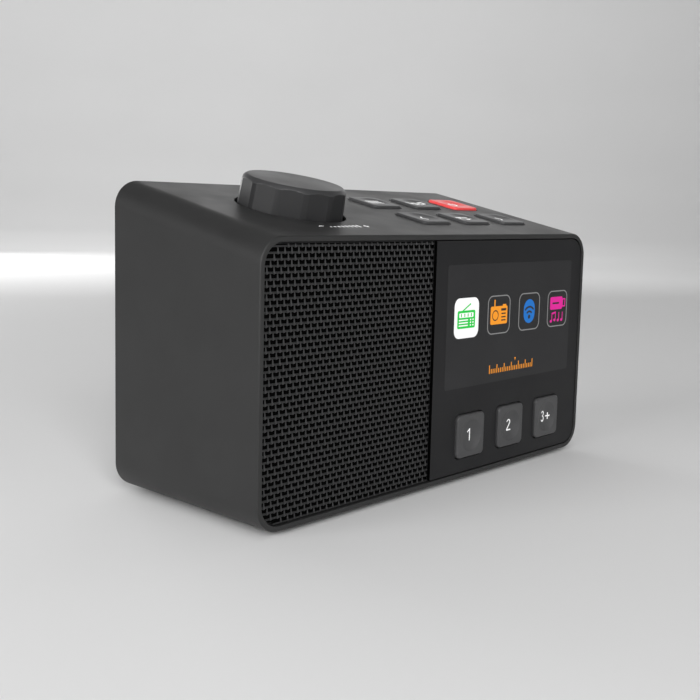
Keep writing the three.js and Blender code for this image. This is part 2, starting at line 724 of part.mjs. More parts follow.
function mainBoardGeometry() {
  const top = MAIN_BOARD_Z;
  const { x: boardX, y: boardY, width: boardWidth, depth: boardDeep } = MAIN_BOARD;
  const board = block(boardX, boardY, boardWidth, boardDeep, top - BOARD_THICKNESS, top);
  const chokes = CHOKE_PLACES.map(([x, y]) => (
    upright(rod(CHOKE_RADIUS, top - 0.5, top + CHOKE_HEIGHT)).translate(x, y, 0)
  ));
  const riser = (x, y, width, depth, height) => (
    block(x, y, width - 1, depth, top - 0.5, JACK_Z - height / 2 - 0.2)
  );
  const risers = Object.values(SOCKETS).map(({ x, width, height }) => (
    riser(x, SOCKET_FRONT + 4, width, RISER_DEPTH, height)
  ));
  const usbRiser = riser(USB.x, REAR_FACE - 4.5, USB.width, USB_RISER_DEPTH, USB.height);
  return shaped(board, { join: [...chokes, ...risers, usbRiser] });
}

addPiece(caseGroup, 'main_board', mainBoardGeometry(), FINISHES.board());
const tunerBottom = MAIN_BOARD_Z + 0.2;
const tunerTop = tunerBottom + TUNER.height;
const tuner = block(TUNER.x, TUNER.y, TUNER.width, TUNER.depth, tunerBottom, tunerTop, 0.8);
addPiece(caseGroup, 'tuner_shield', tuner, FINISHES.chrome());
for (const [name, socket] of Object.entries(SOCKETS)) {
  const place = [socket.x, SOCKET_FRONT, JACK_Z];
  addPiece(caseGroup, `${name}_socket`, socketGeometry(socket), FINISHES.innerPlastic(), place);
}
const usbPlace = [USB.x, REAR_FACE - USB.depth - 0.2, JACK_Z];
addPiece(caseGroup, 'usb_socket', usbGeometry(), FINISHES.chrome(), usbPlace);

// ---------------------------------------------------------------- rear cover, screws and feet

const REAR_SCREW = { headRadius: 3, head: 1.3, shankRadius: BOSS_BORE - 0.2, shank: 12 };
const SCREW_RECESS = 1.2;
const POST_RADIUS = 3;

function rearCoverGeometry() {
  const base = sleeveBlock(WALL + SEAM, REAR_INNER, REAR_FACE);
  const floor = REAR_FACE - SCREW_RECESS;
  const screwHoles = rearScrewPlaces.flatMap(([x, z]) => [
    rod(REAR_SCREW.headRadius + SEAM, floor, REAR_FACE + 1).translate(x, 0, z),
    rod(BOSS_BORE + 0.2, REAR_INNER - 1, REAR_FACE + 1).translate(x, 0, z),
  ]);
  const sockets = Object.values(SOCKETS).map(({ x, width, height }) => (
    frontBlock(x, JACK_Z, width + 1, height + 1, REAR_INNER - 1, REAR_FACE + 1, 0.8)
  ));
  const usb = frontBlock(USB.x, JACK_Z, USB.width + 1, USB.height + 1, REAR_INNER - 1, REAR_FACE + 1);
  const aerial = rod(POST_RADIUS + SEAM, REAR_INNER - 1, REAR_FACE + 1);
  return shaped(base, {
    cut: [...screwHoles, ...sockets, usb, aerial.translate(AERIAL_X, 0, AERIAL_Z)],
  });
}

addPiece(caseGroup, 'rear_cover', rearCoverGeometry(), FINISHES.innerPlastic());
rearScrewPlaces.forEach(([x, z], index) => {
  const seat = REAR_FACE - SCREW_RECESS + 0.1;
  const geometry = screwGeometry(REAR_SCREW);
  addPiece(caseGroup, `rear_screw_${index + 1}`, geometry, FINISHES.steel(), [x, seat, z]);
});

const footPlaces = [FOOT_FRONT_Y, FOOT_BACK_Y].flatMap((y) => [[-FOOT_X, y], [FOOT_X, y]]);
footPlaces.forEach(([x, y], index) => {
  const geometry = upright(turned([
    [0, -FOOT_HEIGHT],
    [FOOT_RADIUS - 0.5, -FOOT_HEIGHT],
    [FOOT_RADIUS, -FOOT_HEIGHT + 0.5],
    [FOOT_RADIUS, 0],
    [0, 0],
  ], MEDIUM_ROUND));
  addPiece(caseGroup, `foot_${index + 1}`, geometry, FINISHES.rubber(), [x, y, 0]);
});

// ---------------------------------------------------------------- telescopic aerial

const aerialGroup = new THREE.Group();
aerialGroup.position.set(AERIAL_X, AERIAL_Y, AERIAL_Z);
caseGroup.add(aerialGroup);

const BASE_FRONT = REAR_FACE + 0.3 - AERIAL_Y;
const BASE_BACK = BASE_FRONT + 2;
const PIN_RADIUS = 1.2;
const SWIVEL_RADIUS = 6;
const PLUG_START = 7;
const TUBE_FLOOR = 9;
const LEDGE = { x: -40, width: 8, height: 3 };

// Swivel: a disc on a post through the rear cover, with two ears above and below the rod's lug.
function swivelGeometry() {
  const disc = rod(SWIVEL_RADIUS, BASE_FRONT, BASE_BACK, MEDIUM_ROUND);
  const post = rod(POST_RADIUS, REAR_INNER - 2 - AERIAL_Y, BASE_FRONT + 0.5);
  const low = LUG_HALF + LUG_GAP;
  const ears = [low, -low - EAR_THICKNESS].flatMap((z) => [
    upright(rod(EAR_RADIUS, z, z + EAR_THICKNESS, MEDIUM_ROUND)),
    block(0, BASE_BACK / 2, EAR_RADIUS * 2, -BASE_BACK + 0.4, z, z + EAR_THICKNESS),
  ]);
  const bore = upright(rod(PIN_RADIUS + 0.1, -10, 10));
  return shaped(disc, { join: [post, ...ears], cut: [bore] });
}

// Lug and outer tube in one piece: a flat eye that closes the tube's inner end.
function outerTubeGeometry() {
  const [outer] = AERIAL_DIAMETERS;
  const mouth = AERIAL_X - AERIAL_MOUTH_X;
  const eye = upright(rod(EAR_RADIUS, -LUG_HALF, LUG_HALF, MEDIUM_ROUND));
  const neck = block(-4, 0, 8, EAR_RADIUS * 1.6, -LUG_HALF, LUG_HALF);
  const plug = sideways(rod(outer / 2, PLUG_START, mouth));
  const bore = sideways(rod(outer / 2 - AERIAL_WALL, TUBE_FLOOR, mouth + 1));
  const hole = upright(rod(PIN_RADIUS + 0.1, -10, 10));
  return shaped(eye, { join: [neck, plug], cut: [bore, hole] });
}

// The inner sections, each a little further out of the mouth than the one it slides in.
function sectionGeometry(index) {
  const outer = AERIAL_DIAMETERS[index] / 2;
  const end = AERIAL_X - AERIAL_MOUTH_X + index * AERIAL_STEP;
  const start = end - AERIAL_LENGTH;
  const isRod = index === AERIAL_DIAMETERS.length - 1;
  return sideways(isRod ? rod(outer, start, end) : tube(outer, outer - AERIAL_WALL, start, end));
}

function aerialTipGeometry() {
  const end = AERIAL_X - AERIAL_MOUTH_X + (AERIAL_DIAMETERS.length - 1) * AERIAL_STEP;
  const bore = AERIAL_DIAMETERS.at(-1) / 2 + 0.1;
  const start = end - 1.4;
  return sideways(turned([
    [bore, start],
    [AERIAL_TIP_RADIUS, start],
    [AERIAL_TIP_RADIUS, start + AERIAL_TIP_LENGTH - 1.2],
    [AERIAL_TIP_RADIUS - 1.2, start + AERIAL_TIP_LENGTH],
    [0, start + AERIAL_TIP_LENGTH],
    [0, end + 0.1],
    [bore, end + 0.1],
    [bore, start],
  ], SMALL_ROUND));
}

const pinHalf = LUG_HALF + LUG_GAP + EAR_THICKNESS;
addPiece(aerialGroup, 'aerial_swivel', swivelGeometry(), FINISHES.innerPlastic());
addPiece(aerialGroup, 'aerial_pin', upright(rod(PIN_RADIUS, -pinHalf, pinHalf)), FINISHES.steel());
addPiece(aerialGroup, 'aerial_section_1', outerTubeGeometry(), FINISHES.chrome());
for (let index = 1; index < AERIAL_DIAMETERS.length; index += 1) {
  const name = `aerial_section_${index + 1}`;
  addPiece(aerialGroup, name, sectionGeometry(index), FINISHES.chrome());
}
addPiece(aerialGroup, 'aerial_tip', aerialTipGeometry(), FINISHES.chrome());

// Ledge on the rear cover under the folded rod.
const ledgeTop = AERIAL_Z - AERIAL_DIAMETERS[0] / 2 - 0.3;
const ledgeMiddle = ledgeTop - LEDGE.height / 2;
const ledgeBack = AERIAL_Y + 1;
const ledge = frontBlock(LEDGE.x, ledgeMiddle, LEDGE.width, LEDGE.height, REAR_FACE, ledgeBack, 0.6);
addPiece(caseGroup, 'aerial_ledge', ledge, FINISHES.innerPlastic());

export default radio;
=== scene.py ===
"""The tabletop radio's looks: fine surfaces, printing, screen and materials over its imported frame.

Shapes are drawn in millimetres in one of four local frames, then placed by a matrix:
CASE is the case's own frame (X from its middle, Y back from its front plane, Z up from its
underside), TOP lies in the sloping top (X from the middle, Y up the slope, Z out of it), and
FRONT and REAR stand on the front and back (X right and Y up as seen from there, Z towards the
eye).
"""

import json
import math

import bmesh
import bpy
from mathutils import Matrix, Vector


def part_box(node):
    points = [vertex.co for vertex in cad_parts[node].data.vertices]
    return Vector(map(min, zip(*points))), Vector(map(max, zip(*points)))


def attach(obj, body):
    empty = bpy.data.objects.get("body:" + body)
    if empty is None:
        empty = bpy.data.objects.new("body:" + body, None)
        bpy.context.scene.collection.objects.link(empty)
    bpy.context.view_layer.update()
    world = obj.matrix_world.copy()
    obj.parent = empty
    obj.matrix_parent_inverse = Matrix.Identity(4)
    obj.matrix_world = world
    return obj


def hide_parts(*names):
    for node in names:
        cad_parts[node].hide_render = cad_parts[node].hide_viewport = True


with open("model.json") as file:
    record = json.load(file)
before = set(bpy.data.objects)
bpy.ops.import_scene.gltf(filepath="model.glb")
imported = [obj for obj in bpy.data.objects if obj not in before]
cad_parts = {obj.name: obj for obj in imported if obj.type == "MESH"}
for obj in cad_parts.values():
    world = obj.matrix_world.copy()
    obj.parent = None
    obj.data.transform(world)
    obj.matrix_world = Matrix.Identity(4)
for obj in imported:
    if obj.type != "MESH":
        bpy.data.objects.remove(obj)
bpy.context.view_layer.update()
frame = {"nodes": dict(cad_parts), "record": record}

# ---- sizes

MM = 0.001
ROUND = 96
FRONT_HEIGHT = 89.0
CORNER_RADIUS = 9.0
WALL = 1.8
SEAM = 0.3
INNER_RADIUS = CORNER_RADIUS - WALL - SEAM

shell_low, shell_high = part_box("case_shell")
CASE_WIDTH, CASE_DEPTH, BACK_HEIGHT = (shell_high - shell_low) / MM
RISE = BACK_HEIGHT - FRONT_HEIGHT
SLOPE = math.atan2(RISE, CASE_DEPTH)

UNMOVED = Matrix.Identity(4)


def turn(degrees, axis):
    return Matrix.Rotation(math.radians(degrees), 4, axis)


def at(matrix, x=0.0, y=0.0, z=0.0):
    """A local frame moved by that much, in its own millimetres."""
    return matrix @ Matrix.Translation((x, y, z))


CASE = at(UNMOVED, 0, shell_low.y, shell_low.z) @ Matrix.Scale(MM, 4)
TOP = at(CASE, z=FRONT_HEIGHT) @ turn(math.degrees(SLOPE), "X")
FRONT = CASE @ turn(90, "X")
REAR = CASE @ turn(180, "Z") @ turn(90, "X")


def local_box(node, matrix):
    """(middle, size) of a CAD node in a local frame, in millimetres."""
    inverse = matrix.inverted()
    points = [inverse @ vertex.co for vertex in frame["nodes"][node].data.vertices]
    low = Vector([min(point[axis] for point in points) for axis in range(3)])
    high = Vector([max(point[axis] for point in points) for axis in range(3)])
    return (low + high) / 2, high - low


def on_face(node, matrix):
    """(frame on the middle of a CAD node's outer face, the node's size), in millimetres."""
    middle, size = local_box(node, matrix)
    return at(matrix, middle.x, middle.y, middle.z + size.z / 2), size


BODY_OF = {
    node: body
    for body, nodes in frame["record"]["behaviour"]["bodies"].items()
    for node in nodes
}

# ---- node materials


def srgb(red, green, blue):
    """A linear colour from 0-255 display values."""
    def channel(value):
        value /= 255
        return value / 12.92 if value <= 0.04045 else ((value + 0.055) / 1.055) ** 2.4
    return (channel(red), channel(green), channel(blue), 1.0)


class Surface:
    """A Principled material and the procedural textures that feed it."""

    def __init__(self, name, color, roughness, metallic=0.0, specular=0.5):
        self.material = bpy.data.materials.new(name)
        self.material.use_nodes = True
        self.tree = self.material.node_tree
        self.shader = self.tree.nodes["Principled BSDF"]
        self.color = color
        self.shader.inputs["Base Color"].default_value = color
        self.shader.inputs["Roughness"].default_value = roughness
        self.shader.inputs["Metallic"].default_value = metallic
        self.shader.inputs["Specular IOR Level"].default_value = specular
        self.coordinates = self.node("TexCoord").outputs["Object"]

    def link(self, output, target):
        self.tree.links.new(output, target)
        return self

    def node(self, kind, **values):
        """A new node with those input values, an underscore standing for a space."""
        node = self.tree.nodes.new(f"ShaderNode{kind}")
        for name, value in values.items():
            node.inputs[name.replace("_", " ")].default_value = value
        return node

    def texture(self, kind, source=None, **values):
        """A new texture node, laid out in the object's coordinates unless told otherwise."""
        node = self.node(f"Tex{kind}", **values)
        self.link(source or self.coordinates, node.inputs["Vector"])
        return node

    def stretched(self, scale):
        """Object coordinates with each axis scaled on its own."""
        mapping = self.node("Mapping", Scale=scale)
        self.link(self.coordinates, mapping.inputs["Vector"])
        return mapping.outputs["Vector"]

    def noise(self, scale, detail=2.0, stretch=None):
        source = self.stretched(stretch) if stretch else None
        return self.texture("Noise", source, Scale=scale, Detail=detail).outputs["Fac"]

    def cells(self, scale):
        return self.texture("Voronoi", Scale=scale).outputs["Distance"]

    def waves(self, scale, direction):
        node = self.texture("Wave", Scale=scale)
        node.bands_direction = direction
        return node.outputs["Fac"]

    def varied(self, spread, scale, detail=3.0):
        """Base colour that drifts a little lighter and darker."""
        ramp = self.node("ValToRGB")
        for element, factor in zip(ramp.color_ramp.elements, (1 - spread, 1 + spread)):
            element.color = [channel * factor for channel in self.color[:3]] + [1.0]
        ramp.color_ramp.elements[0].position = 0.3
        ramp.color_ramp.elements[1].position = 0.7
        self.link(self.noise(scale, detail), ramp.inputs["Fac"])
        return self.link(ramp.outputs["Color"], self.shader.inputs["Base Color"])

    def mapped(self, value, start, end, low, high):
        """A value's range from start to end stretched to run from low to high."""
        spread = self.node("MapRange", From_Min=start, From_Max=end, To_Min=low, To_Max=high)
        self.link(value, spread.inputs["Value"])
        return spread.outputs["Result"]

    def polished(self, low, high, scale):
        """Roughness that drifts between two values."""
        result = self.mapped(self.noise(scale), 0.3, 0.7, low, high)
        return self.link(result, self.shader.inputs["Roughness"])

    def shaded_along(self, axis, start, end, low, high):
        """Base colour times a factor that runs from low to high between two places."""
        split = self.node("SeparateXYZ")
        self.link(self.coordinates, split.inputs["Vector"])
        scale = self.node("VectorMath")
        scale.operation = "SCALE"
        base = self.shader.inputs["Base Color"]
        self.link(base.links[0].from_socket, scale.inputs["Vector"])
        factor = self.mapped(split.outputs[axis], start, end, low, high)
        self.link(factor, scale.inputs["Scale"])
        return self.link(scale.outputs["Vector"], base)

    def bumped(self, height, depth_mm, strength=1.0):
        """One more layer of relief, that deep in millimetres."""
        bump = self.node("Bump", Distance=depth_mm * MM, Strength=strength)
        normal = self.shader.inputs["Normal"]
        if normal.is_linked:
            self.link(normal.links[0].from_socket, bump.inputs["Normal"])
        self.link(height, bump.inputs["Height"])
        return self.link(bump.outputs["Normal"], normal)

    def glowing(self, color, strength):
        self.shader.inputs["Emission Color"].default_value = color
        self.shader.inputs["Emission Strength"].default_value = strength
        return self


def moulded(name, color, roughness, grain_mm, specular=0.5, spread=0.06):
    """Moulded plastic: spark-eroded grain, slight flow mottling and slight wear of its sheen."""
    surface = Surface(name, color, roughness, specular=specular)
    surface.varied(spread, 45)
    surface.polished(roughness - 0.04, roughness + 0.05, 60)
    surface.bumped(surface.noise(2600, 3), grain_mm, 0.5)
    surface.bumped(surface.cells(1700), grain_mm * 0.6, 0.3)
    return surface.material


def plated(name, color, roughness, lengthwise):
    """Plated or turned metal with fine drawn lines along one axis."""
    surface = Surface(name, color, roughness, metallic=1.0)
    surface.varied(0.05, 80)
    surface.polished(roughness * 0.8, roughness * 1.3, 150)
    surface.bumped(surface.noise(400, 2, stretch=lengthwise), 0.004, 0.35)
    return surface.material


def printed(name, color, glow=0.0):
    """A pad-stamped ink with a trace of unevenness; a bright one is given a little painted glow."""
    surface = Surface(name, color, 0.55)
    surface.varied(0.04, 900)
    return surface.glowing(color, glow).material


def lit(name, color, strength=1.0):
    """A lit area of the screen: dark itself, with a plain glow and a slight drift in its roughness.
    """
    surface = Surface(name, (0.004, 0.004, 0.004, 1.0), 0.35, specular=0.2)
    surface.polished(0.33, 0.37, 400)
    return surface.glowing(color, strength).material


GRAIN_FRONT = 0.9
WIRE_FRONT = 1.12


def grille_painted_shade():
    """Paint on the pressed sheet with painted light: a painted highlight on its raised grains and
    painted shade in its hollows.
    """
    surface = Surface("grille_painted_shade", srgb(44, 44, 45), 0.45)
    surface.varied(0.08, 300)
    surface.polished(0.4, 0.5, 200)
    surface.bumped(surface.noise(2600, 3), 0.01, 0.5)
    raised = shell_low.y + GRAIN_FRONT * MM
    sunk = shell_low.y + WIRE_FRONT * MM
    # painted shade: the colour runs from lighter at the raised grains to much darker at the sunk
    # wires
    surface.shaded_along("Y", raised, sunk, 1.15, 0.32)
    return surface.material


def woven_cloth():
    surface = Surface("acoustic_cloth", srgb(9, 9, 9), 1.0, specular=0.04)
    surface.varied(0.3, 3000)
    surface.bumped(surface.waves(900, "X"), 0.05, 0.6)
    surface.bumped(surface.waves(900, "Z"), 0.05, 0.6)
    return surface.material


def pressed_paper():
    surface = Surface("pressed_paper", srgb(34, 33, 31), 0.95, specular=0.2)
    surface.varied(0.25, 900, 5)
    surface.bumped(surface.noise(1500, 5), 0.05, 0.6)
    return surface.material


def circuit_board():
    surface = Surface("circuit_board", srgb(20, 74, 48), 0.42)
    surface.varied(0.2, 260, 4)
    surface.bumped(surface.waves(180, "X"), 0.03, 0.4)
    return surface.material


MATERIALS = {
    "shell": moulded("shell_plastic", srgb(37, 37, 37), 0.5, 0.03, 0.42),
    "grille": grille_painted_shade(),
    "cloth": woven_cloth(),
    "fascia": moulded("fascia_plastic", srgb(36, 36, 37), 0.42, 0.012, 0.12),
    "window": moulded("window_acrylic", srgb(48, 48, 49), 0.38, 0.004, 0.1),
    "inner_plastic": moulded("inner_plastic", srgb(26, 26, 27), 0.6, 0.03),
    "rear": moulded("rear_plastic", srgb(32, 32, 33), 0.6, 0.06),
    "key": moulded("key_plastic", srgb(67, 67, 68), 0.45, 0.015, 0.42),
    "key_red": moulded("red_key_plastic", srgb(254, 84, 84), 0.42, 0.015),
    "knob": moulded("knob_plastic", srgb(34, 34, 35), 0.46, 0.02, 0.36),
    "rubber": moulded("foot_rubber", srgb(22, 22, 22), 0.85, 0.08, 0.3),
    "steel": plated("zinc_steel", srgb(168, 169, 172), 0.32, (1, 8, 1)),
    "chrome": plated("bright_chrome", srgb(214, 216, 219), 0.12, (0.15, 6, 6)),
    "magnet": moulded("ferrite", srgb(52, 52, 56), 0.6, 0.05),
    "paper": pressed_paper(),
    "board": circuit_board(),
    "display": moulded("display_glass", srgb(14, 15, 18), 0.15, 0.002),
}
# Painted shade: a near-black colour laid on the fascia's left side wall so the gap by the grille
# reads as shadow.
PAINTED_SHADE_EDGE = Surface("painted_shade_edge", srgb(4, 4, 4), 1.0, specular=0.02).varied(0.2, 900).material
# Painted highlight: a lighter plastic for the knob's sloping shoulder, standing in for light it
# would catch.
KNOB_PAINTED_HIGHLIGHT = moulded("knob_painted_highlight", srgb(54, 54, 55), 0.46, 0.02, 0.36)
# painted glow: the white print glows a little though it is no lamp
WHITE_INK_PAINTED_GLOW = printed("white_ink_painted_glow", srgb(250, 250, 250), glow=0.15)
GREY_INK = printed("grey_ink", srgb(120, 121, 122))
SCREEN_COLORS = {
    "white": (255, 255, 255),
    "grey": (132, 132, 132),
    "green": (30, 205, 70),
    "orange": (248, 155, 35),
    "blue": (24, 112, 196),
    "magenta": (222, 30, 150),
    "dark": (46, 46, 46),
}
SCREEN = {name: lit(f"screen_{name}", srgb(*color)) for name, color in SCREEN_COLORS.items()}

for subpart in frame["record"]["subparts"]:
    mesh = frame["nodes"][subpart["node"]].data
    mesh.materials.clear()
    mesh.materials.append(MATERIALS[subpart["material_slot"]])

# ---- outlines


def rounded(width, height, radii, steps=8):
    """Points round a rounded rectangle, anticlockwise from its lower right corner.

    radii is one radius, or one each for lower right, upper right, upper left and lower left."""
    if not isinstance(radii, (tuple, list)):
        radii = [radii] * 4
    points = []
    for quarter, (side, level) in enumerate(((1, -1), (1, 1), (-1, 1), (-1, -1))):
        radius = max(radii[quarter], 0.01)
        x, y = side * (width / 2 - radius), level * (height / 2 - radius)
        for step in range(steps + 1):
            angle = (quarter - 1 + step / steps) * math.pi / 2
            points.append((x + radius * math.cos(angle), y + radius * math.sin(angle)))
    return points


def shrunk(width, height, radius, inset, steps=8):
    """A rounded rectangle whose edge is moved in all round."""
    return rounded(width - 2 * inset, height - 2 * inset, radius - inset, steps)


def ellipse(half_width, half_height, count=32):
    """Points round an ellipse, anticlockwise from just past its lowest point."""
    angles = [(index + 0.5) * 2 * math.pi / count - math.pi / 2 for index in range(count)]
    return [(half_width * math.cos(angle), half_height * math.sin(angle)) for angle in angles]


def moved(points, x, y):
    return [(px + x, py + y) for px, py in points]


def bar(start, end, width):
    """A straight stroke between two points."""
    first, last = Vector(start), Vector(end)
    along = (last - first).normalized()
    across = Vector((-along.y, along.x)) * width / 2
    corners = (first - across, last - across, last + across, first + across)
    return [tuple(corner) for corner in corners]


def arc_band(centre, radius, width, start_deg, end_deg, steps=16):
    """A stroke along an arc."""
    angles = [
        math.radians(start_deg + (end_deg - start_deg) * step / steps)
        for step in range(steps + 1)
    ]
    outer, inner = (
        [(math.cos(angle) * reach, math.sin(angle) * reach) for angle in angles]
        for reach in (radius + width / 2, radius - width / 2)
    )
    return moved(outer + inner[::-1], *centre)


def fillet(radius, level, steps=6):
    """(inset, height) pairs of a rounded edge that ends flat at that level."""
    angles = [math.pi / 2 * step / steps for step in range(steps + 1)]
    return [
        (radius * (1 - math.cos(angle)), level - radius * (1 - math.sin(angle)))
        for angle in angles
    ]


# ---- mesh building


POINT_RADIUS = 0.002


def loft(bm, rings, closed=False, start_cap=True, end_cap=True):
    """Skins rings of points that all have the same count."""
    rows = [[bm.verts.new(point) for point in ring] for ring in rings]
    pairs = list(zip(rows, rows[1:]))
    if closed:
        pairs.append((rows[-1], rows[0]))
    count = len(rows[0])
    for low, high in pairs:
        for index in range(count):
            after = (index + 1) % count
            bm.faces.new((low[index], low[after], high[after], high[index]))
    if not closed and start_cap:
        bm.faces.new(rows[0][::-1])
    if not closed and end_cap:
        bm.faces.new(rows[-1])


def turned(profile, segments=48, closed=False, end_cap=True):
    """(radius, height) pairs turned about Z, as a bmesh. A radius of 0 is closed to a point."""
    angles = [2 * math.pi * index / segments for index in range(segments)]
    rings = []
    for radius, height in profile:
        reach = max(radius, POINT_RADIUS)
        rings.append([(reach * math.cos(a), reach * math.sin(a), height) for a in angles])
    bm = bmesh.new()
    loft(bm, rings, closed=closed, end_cap=end_cap)
    return bm


def slab(width, height, radius, levels, steps=8, bm=None):
    """A rounded rectangle drawn through (inset, height) pairs, in a bmesh."""
    bm = bm or bmesh.new()
    loft(bm, [
        [(x, y, level) for x, y in shrunk(width, height, radius, inset, steps)]
        for inset, level in levels
    ])
    return bm


def filled(outlines, thickness, bevel=0.0, bevel_steps=2):
    """A flat sheet with holes, as a bmesh: the first outline is its edge, the others its holes.
    Its face is at height 0 and its back below."""
    curve = bpy.data.curves.new("sheet", "CURVE")
    curve.dimensions = "2D"
    curve.fill_mode = "BOTH"
    curve.extrude = thickness / 2 - bevel
    curve.bevel_depth = bevel
    curve.bevel_resolution = bevel_steps
    curve.offset = -bevel
    for outline in outlines:
        spline = curve.splines.new("POLY")
        spline.points.add(len(outline) - 1)
        for point, (x, y) in zip(spline.points, outline):
            point.co = (x, y, 0, 1)
        spline.use_cyclic_u = True
    bm = from_curve(curve)
    bm.transform(at(UNMOVED, z=-thickness / 2))
    return bm


def from_curve(curve):
    """The mesh of a curve, as a bmesh."""
    holder = bpy.data.objects.new("holder", curve)
    bpy.context.scene.collection.objects.link(holder)
    graph = bpy.context.evaluated_depsgraph_get()
    mesh = bpy.data.meshes.new_from_object(holder.evaluated_get(graph))
    bm = bmesh.new()
    bm.from_mesh(mesh)
    bpy.data.objects.remove(holder)
    bpy.data.curves.remove(curve)
    bpy.data.meshes.remove(mesh)
    return bm


def absorb(bm, other, matrix=UNMOVED):
    """Adds another bmesh to this one and frees it."""
    other.transform(matrix)
    mesh = bpy.data.meshes.new("part")
    other.to_mesh(mesh)
    other.free()
    bm.from_mesh(mesh)
    bpy.data.meshes.remove(mesh)


def placed(bm, matrix):
    bm.transform(matrix)
    return bm


def make_object(name, bm, material, crease):
    bmesh.ops.recalc_face_normals(bm, faces=bm.faces)
    mesh = bpy.data.meshes.new(name)
    bm.to_mesh(mesh)
    bm.free()
    mesh.materials.append(material)
    mesh.shade_smooth()
    mesh.set_sharp_from_angle(angle=math.radians(crease))
    piece = bpy.data.objects.new(name, mesh)
    bpy.context.scene.collection.objects.link(piece)
    return piece


def add_piece(name, bm, matrix, slot, body="case", replaces=(), material=None, crease=35):
    """Places a mesh drawn in a local frame, and ties it to a body of the frame."""
    bm.transform(matrix)
    piece = make_object(name, bm, material or MATERIALS[slot], crease)
    piece.modifiers.new("flat_faces_stay_flat", "WEIGHTED_NORMAL").keep_sharp = True
    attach(piece, body)
    if replaces:
        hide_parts(*replaces)
    return piece


def carve(bm, cutters):
    """Cuts (bmesh, matrix) pairs out of a bmesh and returns what is left."""
    piece, *tools = (
        make_object("carving", part, MATERIALS["shell"], 30)
        for part in (bm, *(placed(*cutter) for cutter in cutters))
    )
    for tool in tools:
        modifier = piece.modifiers.new("carve", "BOOLEAN")
        modifier.operation = "DIFFERENCE"
        modifier.solver = "EXACT"
        modifier.object = tool
    graph = bpy.context.evaluated_depsgraph_get()
    carved = bpy.data.meshes.new_from_object(piece.evaluated_get(graph))
    piece.modifiers.clear()
    left = bmesh.new()
    left.from_mesh(carved)
    bpy.data.meshes.remove(carved)
    for obj in (piece, *tools):
        bpy.data.objects.remove(obj)
    return left


# ---- case shell

KEY_GAP = 0.4
KEY_RADIUS = 2.0
TOP_KEYS = [f"top_key_{number}" for number in range(1, 6)] + ["top_power_key"]
PRESET_KEYS = [f"preset_key_{number}" for number in (1, 2, 3)]
KEY_FLANGE = 0.9
KEY_EDGE = 0.65

KNOB_X = -45.0
KNOB_Y = 36.2
WELL_RADIUS = 19.2
WELL_DEPTH = 2.6
WELL_EASE = 0.4
BUSH_HOLE = 3.8
RIM_ROUND = 0.45
RIM_EASE = 0.25
CUT_BELOW = -6
CUT_ABOVE = 4
HOLE_LEVELS = [(0, CUT_BELOW), (0, -0.3), (-0.06, -0.1), (-0.25, 0.02), (-0.25, CUT_ABOVE)]


def sleeve_ring(inset, y, steps=14):
    """The case's section at that depth, smaller by an inset; its top half follows the slope."""
    outline = shrunk(CASE_WIDTH, FRONT_HEIGHT, CORNER_RADIUS, inset, steps)
    lift = RISE * y / CASE_DEPTH
    return [(x, y, z + FRONT_HEIGHT / 2 + (lift if z > 0 else 0)) for x, z in outline]


def key_place(node, matrix):
    """(x, y, width, height) of a keycap, from its CAD flange, in the plane it stands on."""
    middle, size = local_box(node, matrix)
    return middle.x, middle.y, size.x - 2 * KEY_FLANGE, size.y - 2 * KEY_FLANGE


def build_shell():
    front_outer = [(inset, RIM_ROUND - level) for inset, level in fillet(RIM_ROUND, RIM_ROUND)]
    back_outer = [(inset, CASE_DEPTH - y) for inset, y in reversed(front_outer)]
    inner_front = [(WALL, RIM_EASE), (WALL - RIM_EASE / 3, RIM_EASE / 3), (WALL - RIM_EASE, 0)]
    inner_back = [(inset, CASE_DEPTH - y) for inset, y in reversed(inner_front)]
    stations = front_outer[::-1] + back_outer[::-1] + inner_back + inner_front
    sleeve = bmesh.new()
    loft(sleeve, [sleeve_ring(inset, y) for inset, y in stations], closed=True)
    sleeve.transform(CASE)

    cutters = []
    for node in TOP_KEYS:
        x, y, width, depth = key_place(node, TOP)
        size = (width + 2 * KEY_GAP, depth + 2 * KEY_GAP)
        cutters.append((slab(*size, KEY_RADIUS + KEY_GAP, HOLE_LEVELS), at(TOP, x, y)))
    mouth = [(WELL_RADIUS - inset, level) for inset, level in HOLE_LEVELS]
    well_place = at(TOP, KNOB_X, KNOB_Y)
    cutters.append((turned([(0, CUT_BELOW), *mouth, (0, CUT_ABOVE)], ROUND), well_place))

    shell = carve(sleeve, cutters)
    floor = -WELL_DEPTH
    cup = turned([
        (WELL_RADIUS, -WELL_EASE),
        (WELL_RADIUS, floor + WELL_EASE),
        (WELL_RADIUS - WELL_EASE, floor),
        (BUSH_HOLE, floor),
        (BUSH_HOLE, floor - WALL),
        (WELL_RADIUS + WALL, floor - WALL),
        (WELL_RADIUS + WALL, -WALL),
    ], ROUND, closed=True)
    absorb(shell, cup, well_place)
    add_piece("case_shell_skin", shell, UNMOVED, "shell", replaces=["case_shell"], crease=30)


build_shell()

# ---- woven speaker grille

GRILLE_PITCH_X = 2.83
GRILLE_PITCH_Z = 1.947
GRILLE_FIRST_X = -83.6
GRILLE_FIRST_Z = 3.25
HOLE_HEIGHT = 1.3
WIRE_BACK = 1.34
GRAIN_TOP = 0.8
GRAIN_BOTTOM = 1.48
GRAIN_SHORTEST = 0.5
GRAIN_MARGIN = 0.4
GRAIN_STATIONS = [
    (0.0, 0.12, 1.2), (0.1, 0.19, 1.12), (0.3, 0.23, 1.04), (0.55, 0.28, 0.97),
    (0.8, 0.41, GRAIN_FRONT), (0.93, 0.38, 0.95), (1.0, 0.2, 1.1),
]
GRILLE_RADIUS = 0.4
BORDER = 0.12
BORDER_DEPTH = 1.2
WIRE_EASE = 0.1


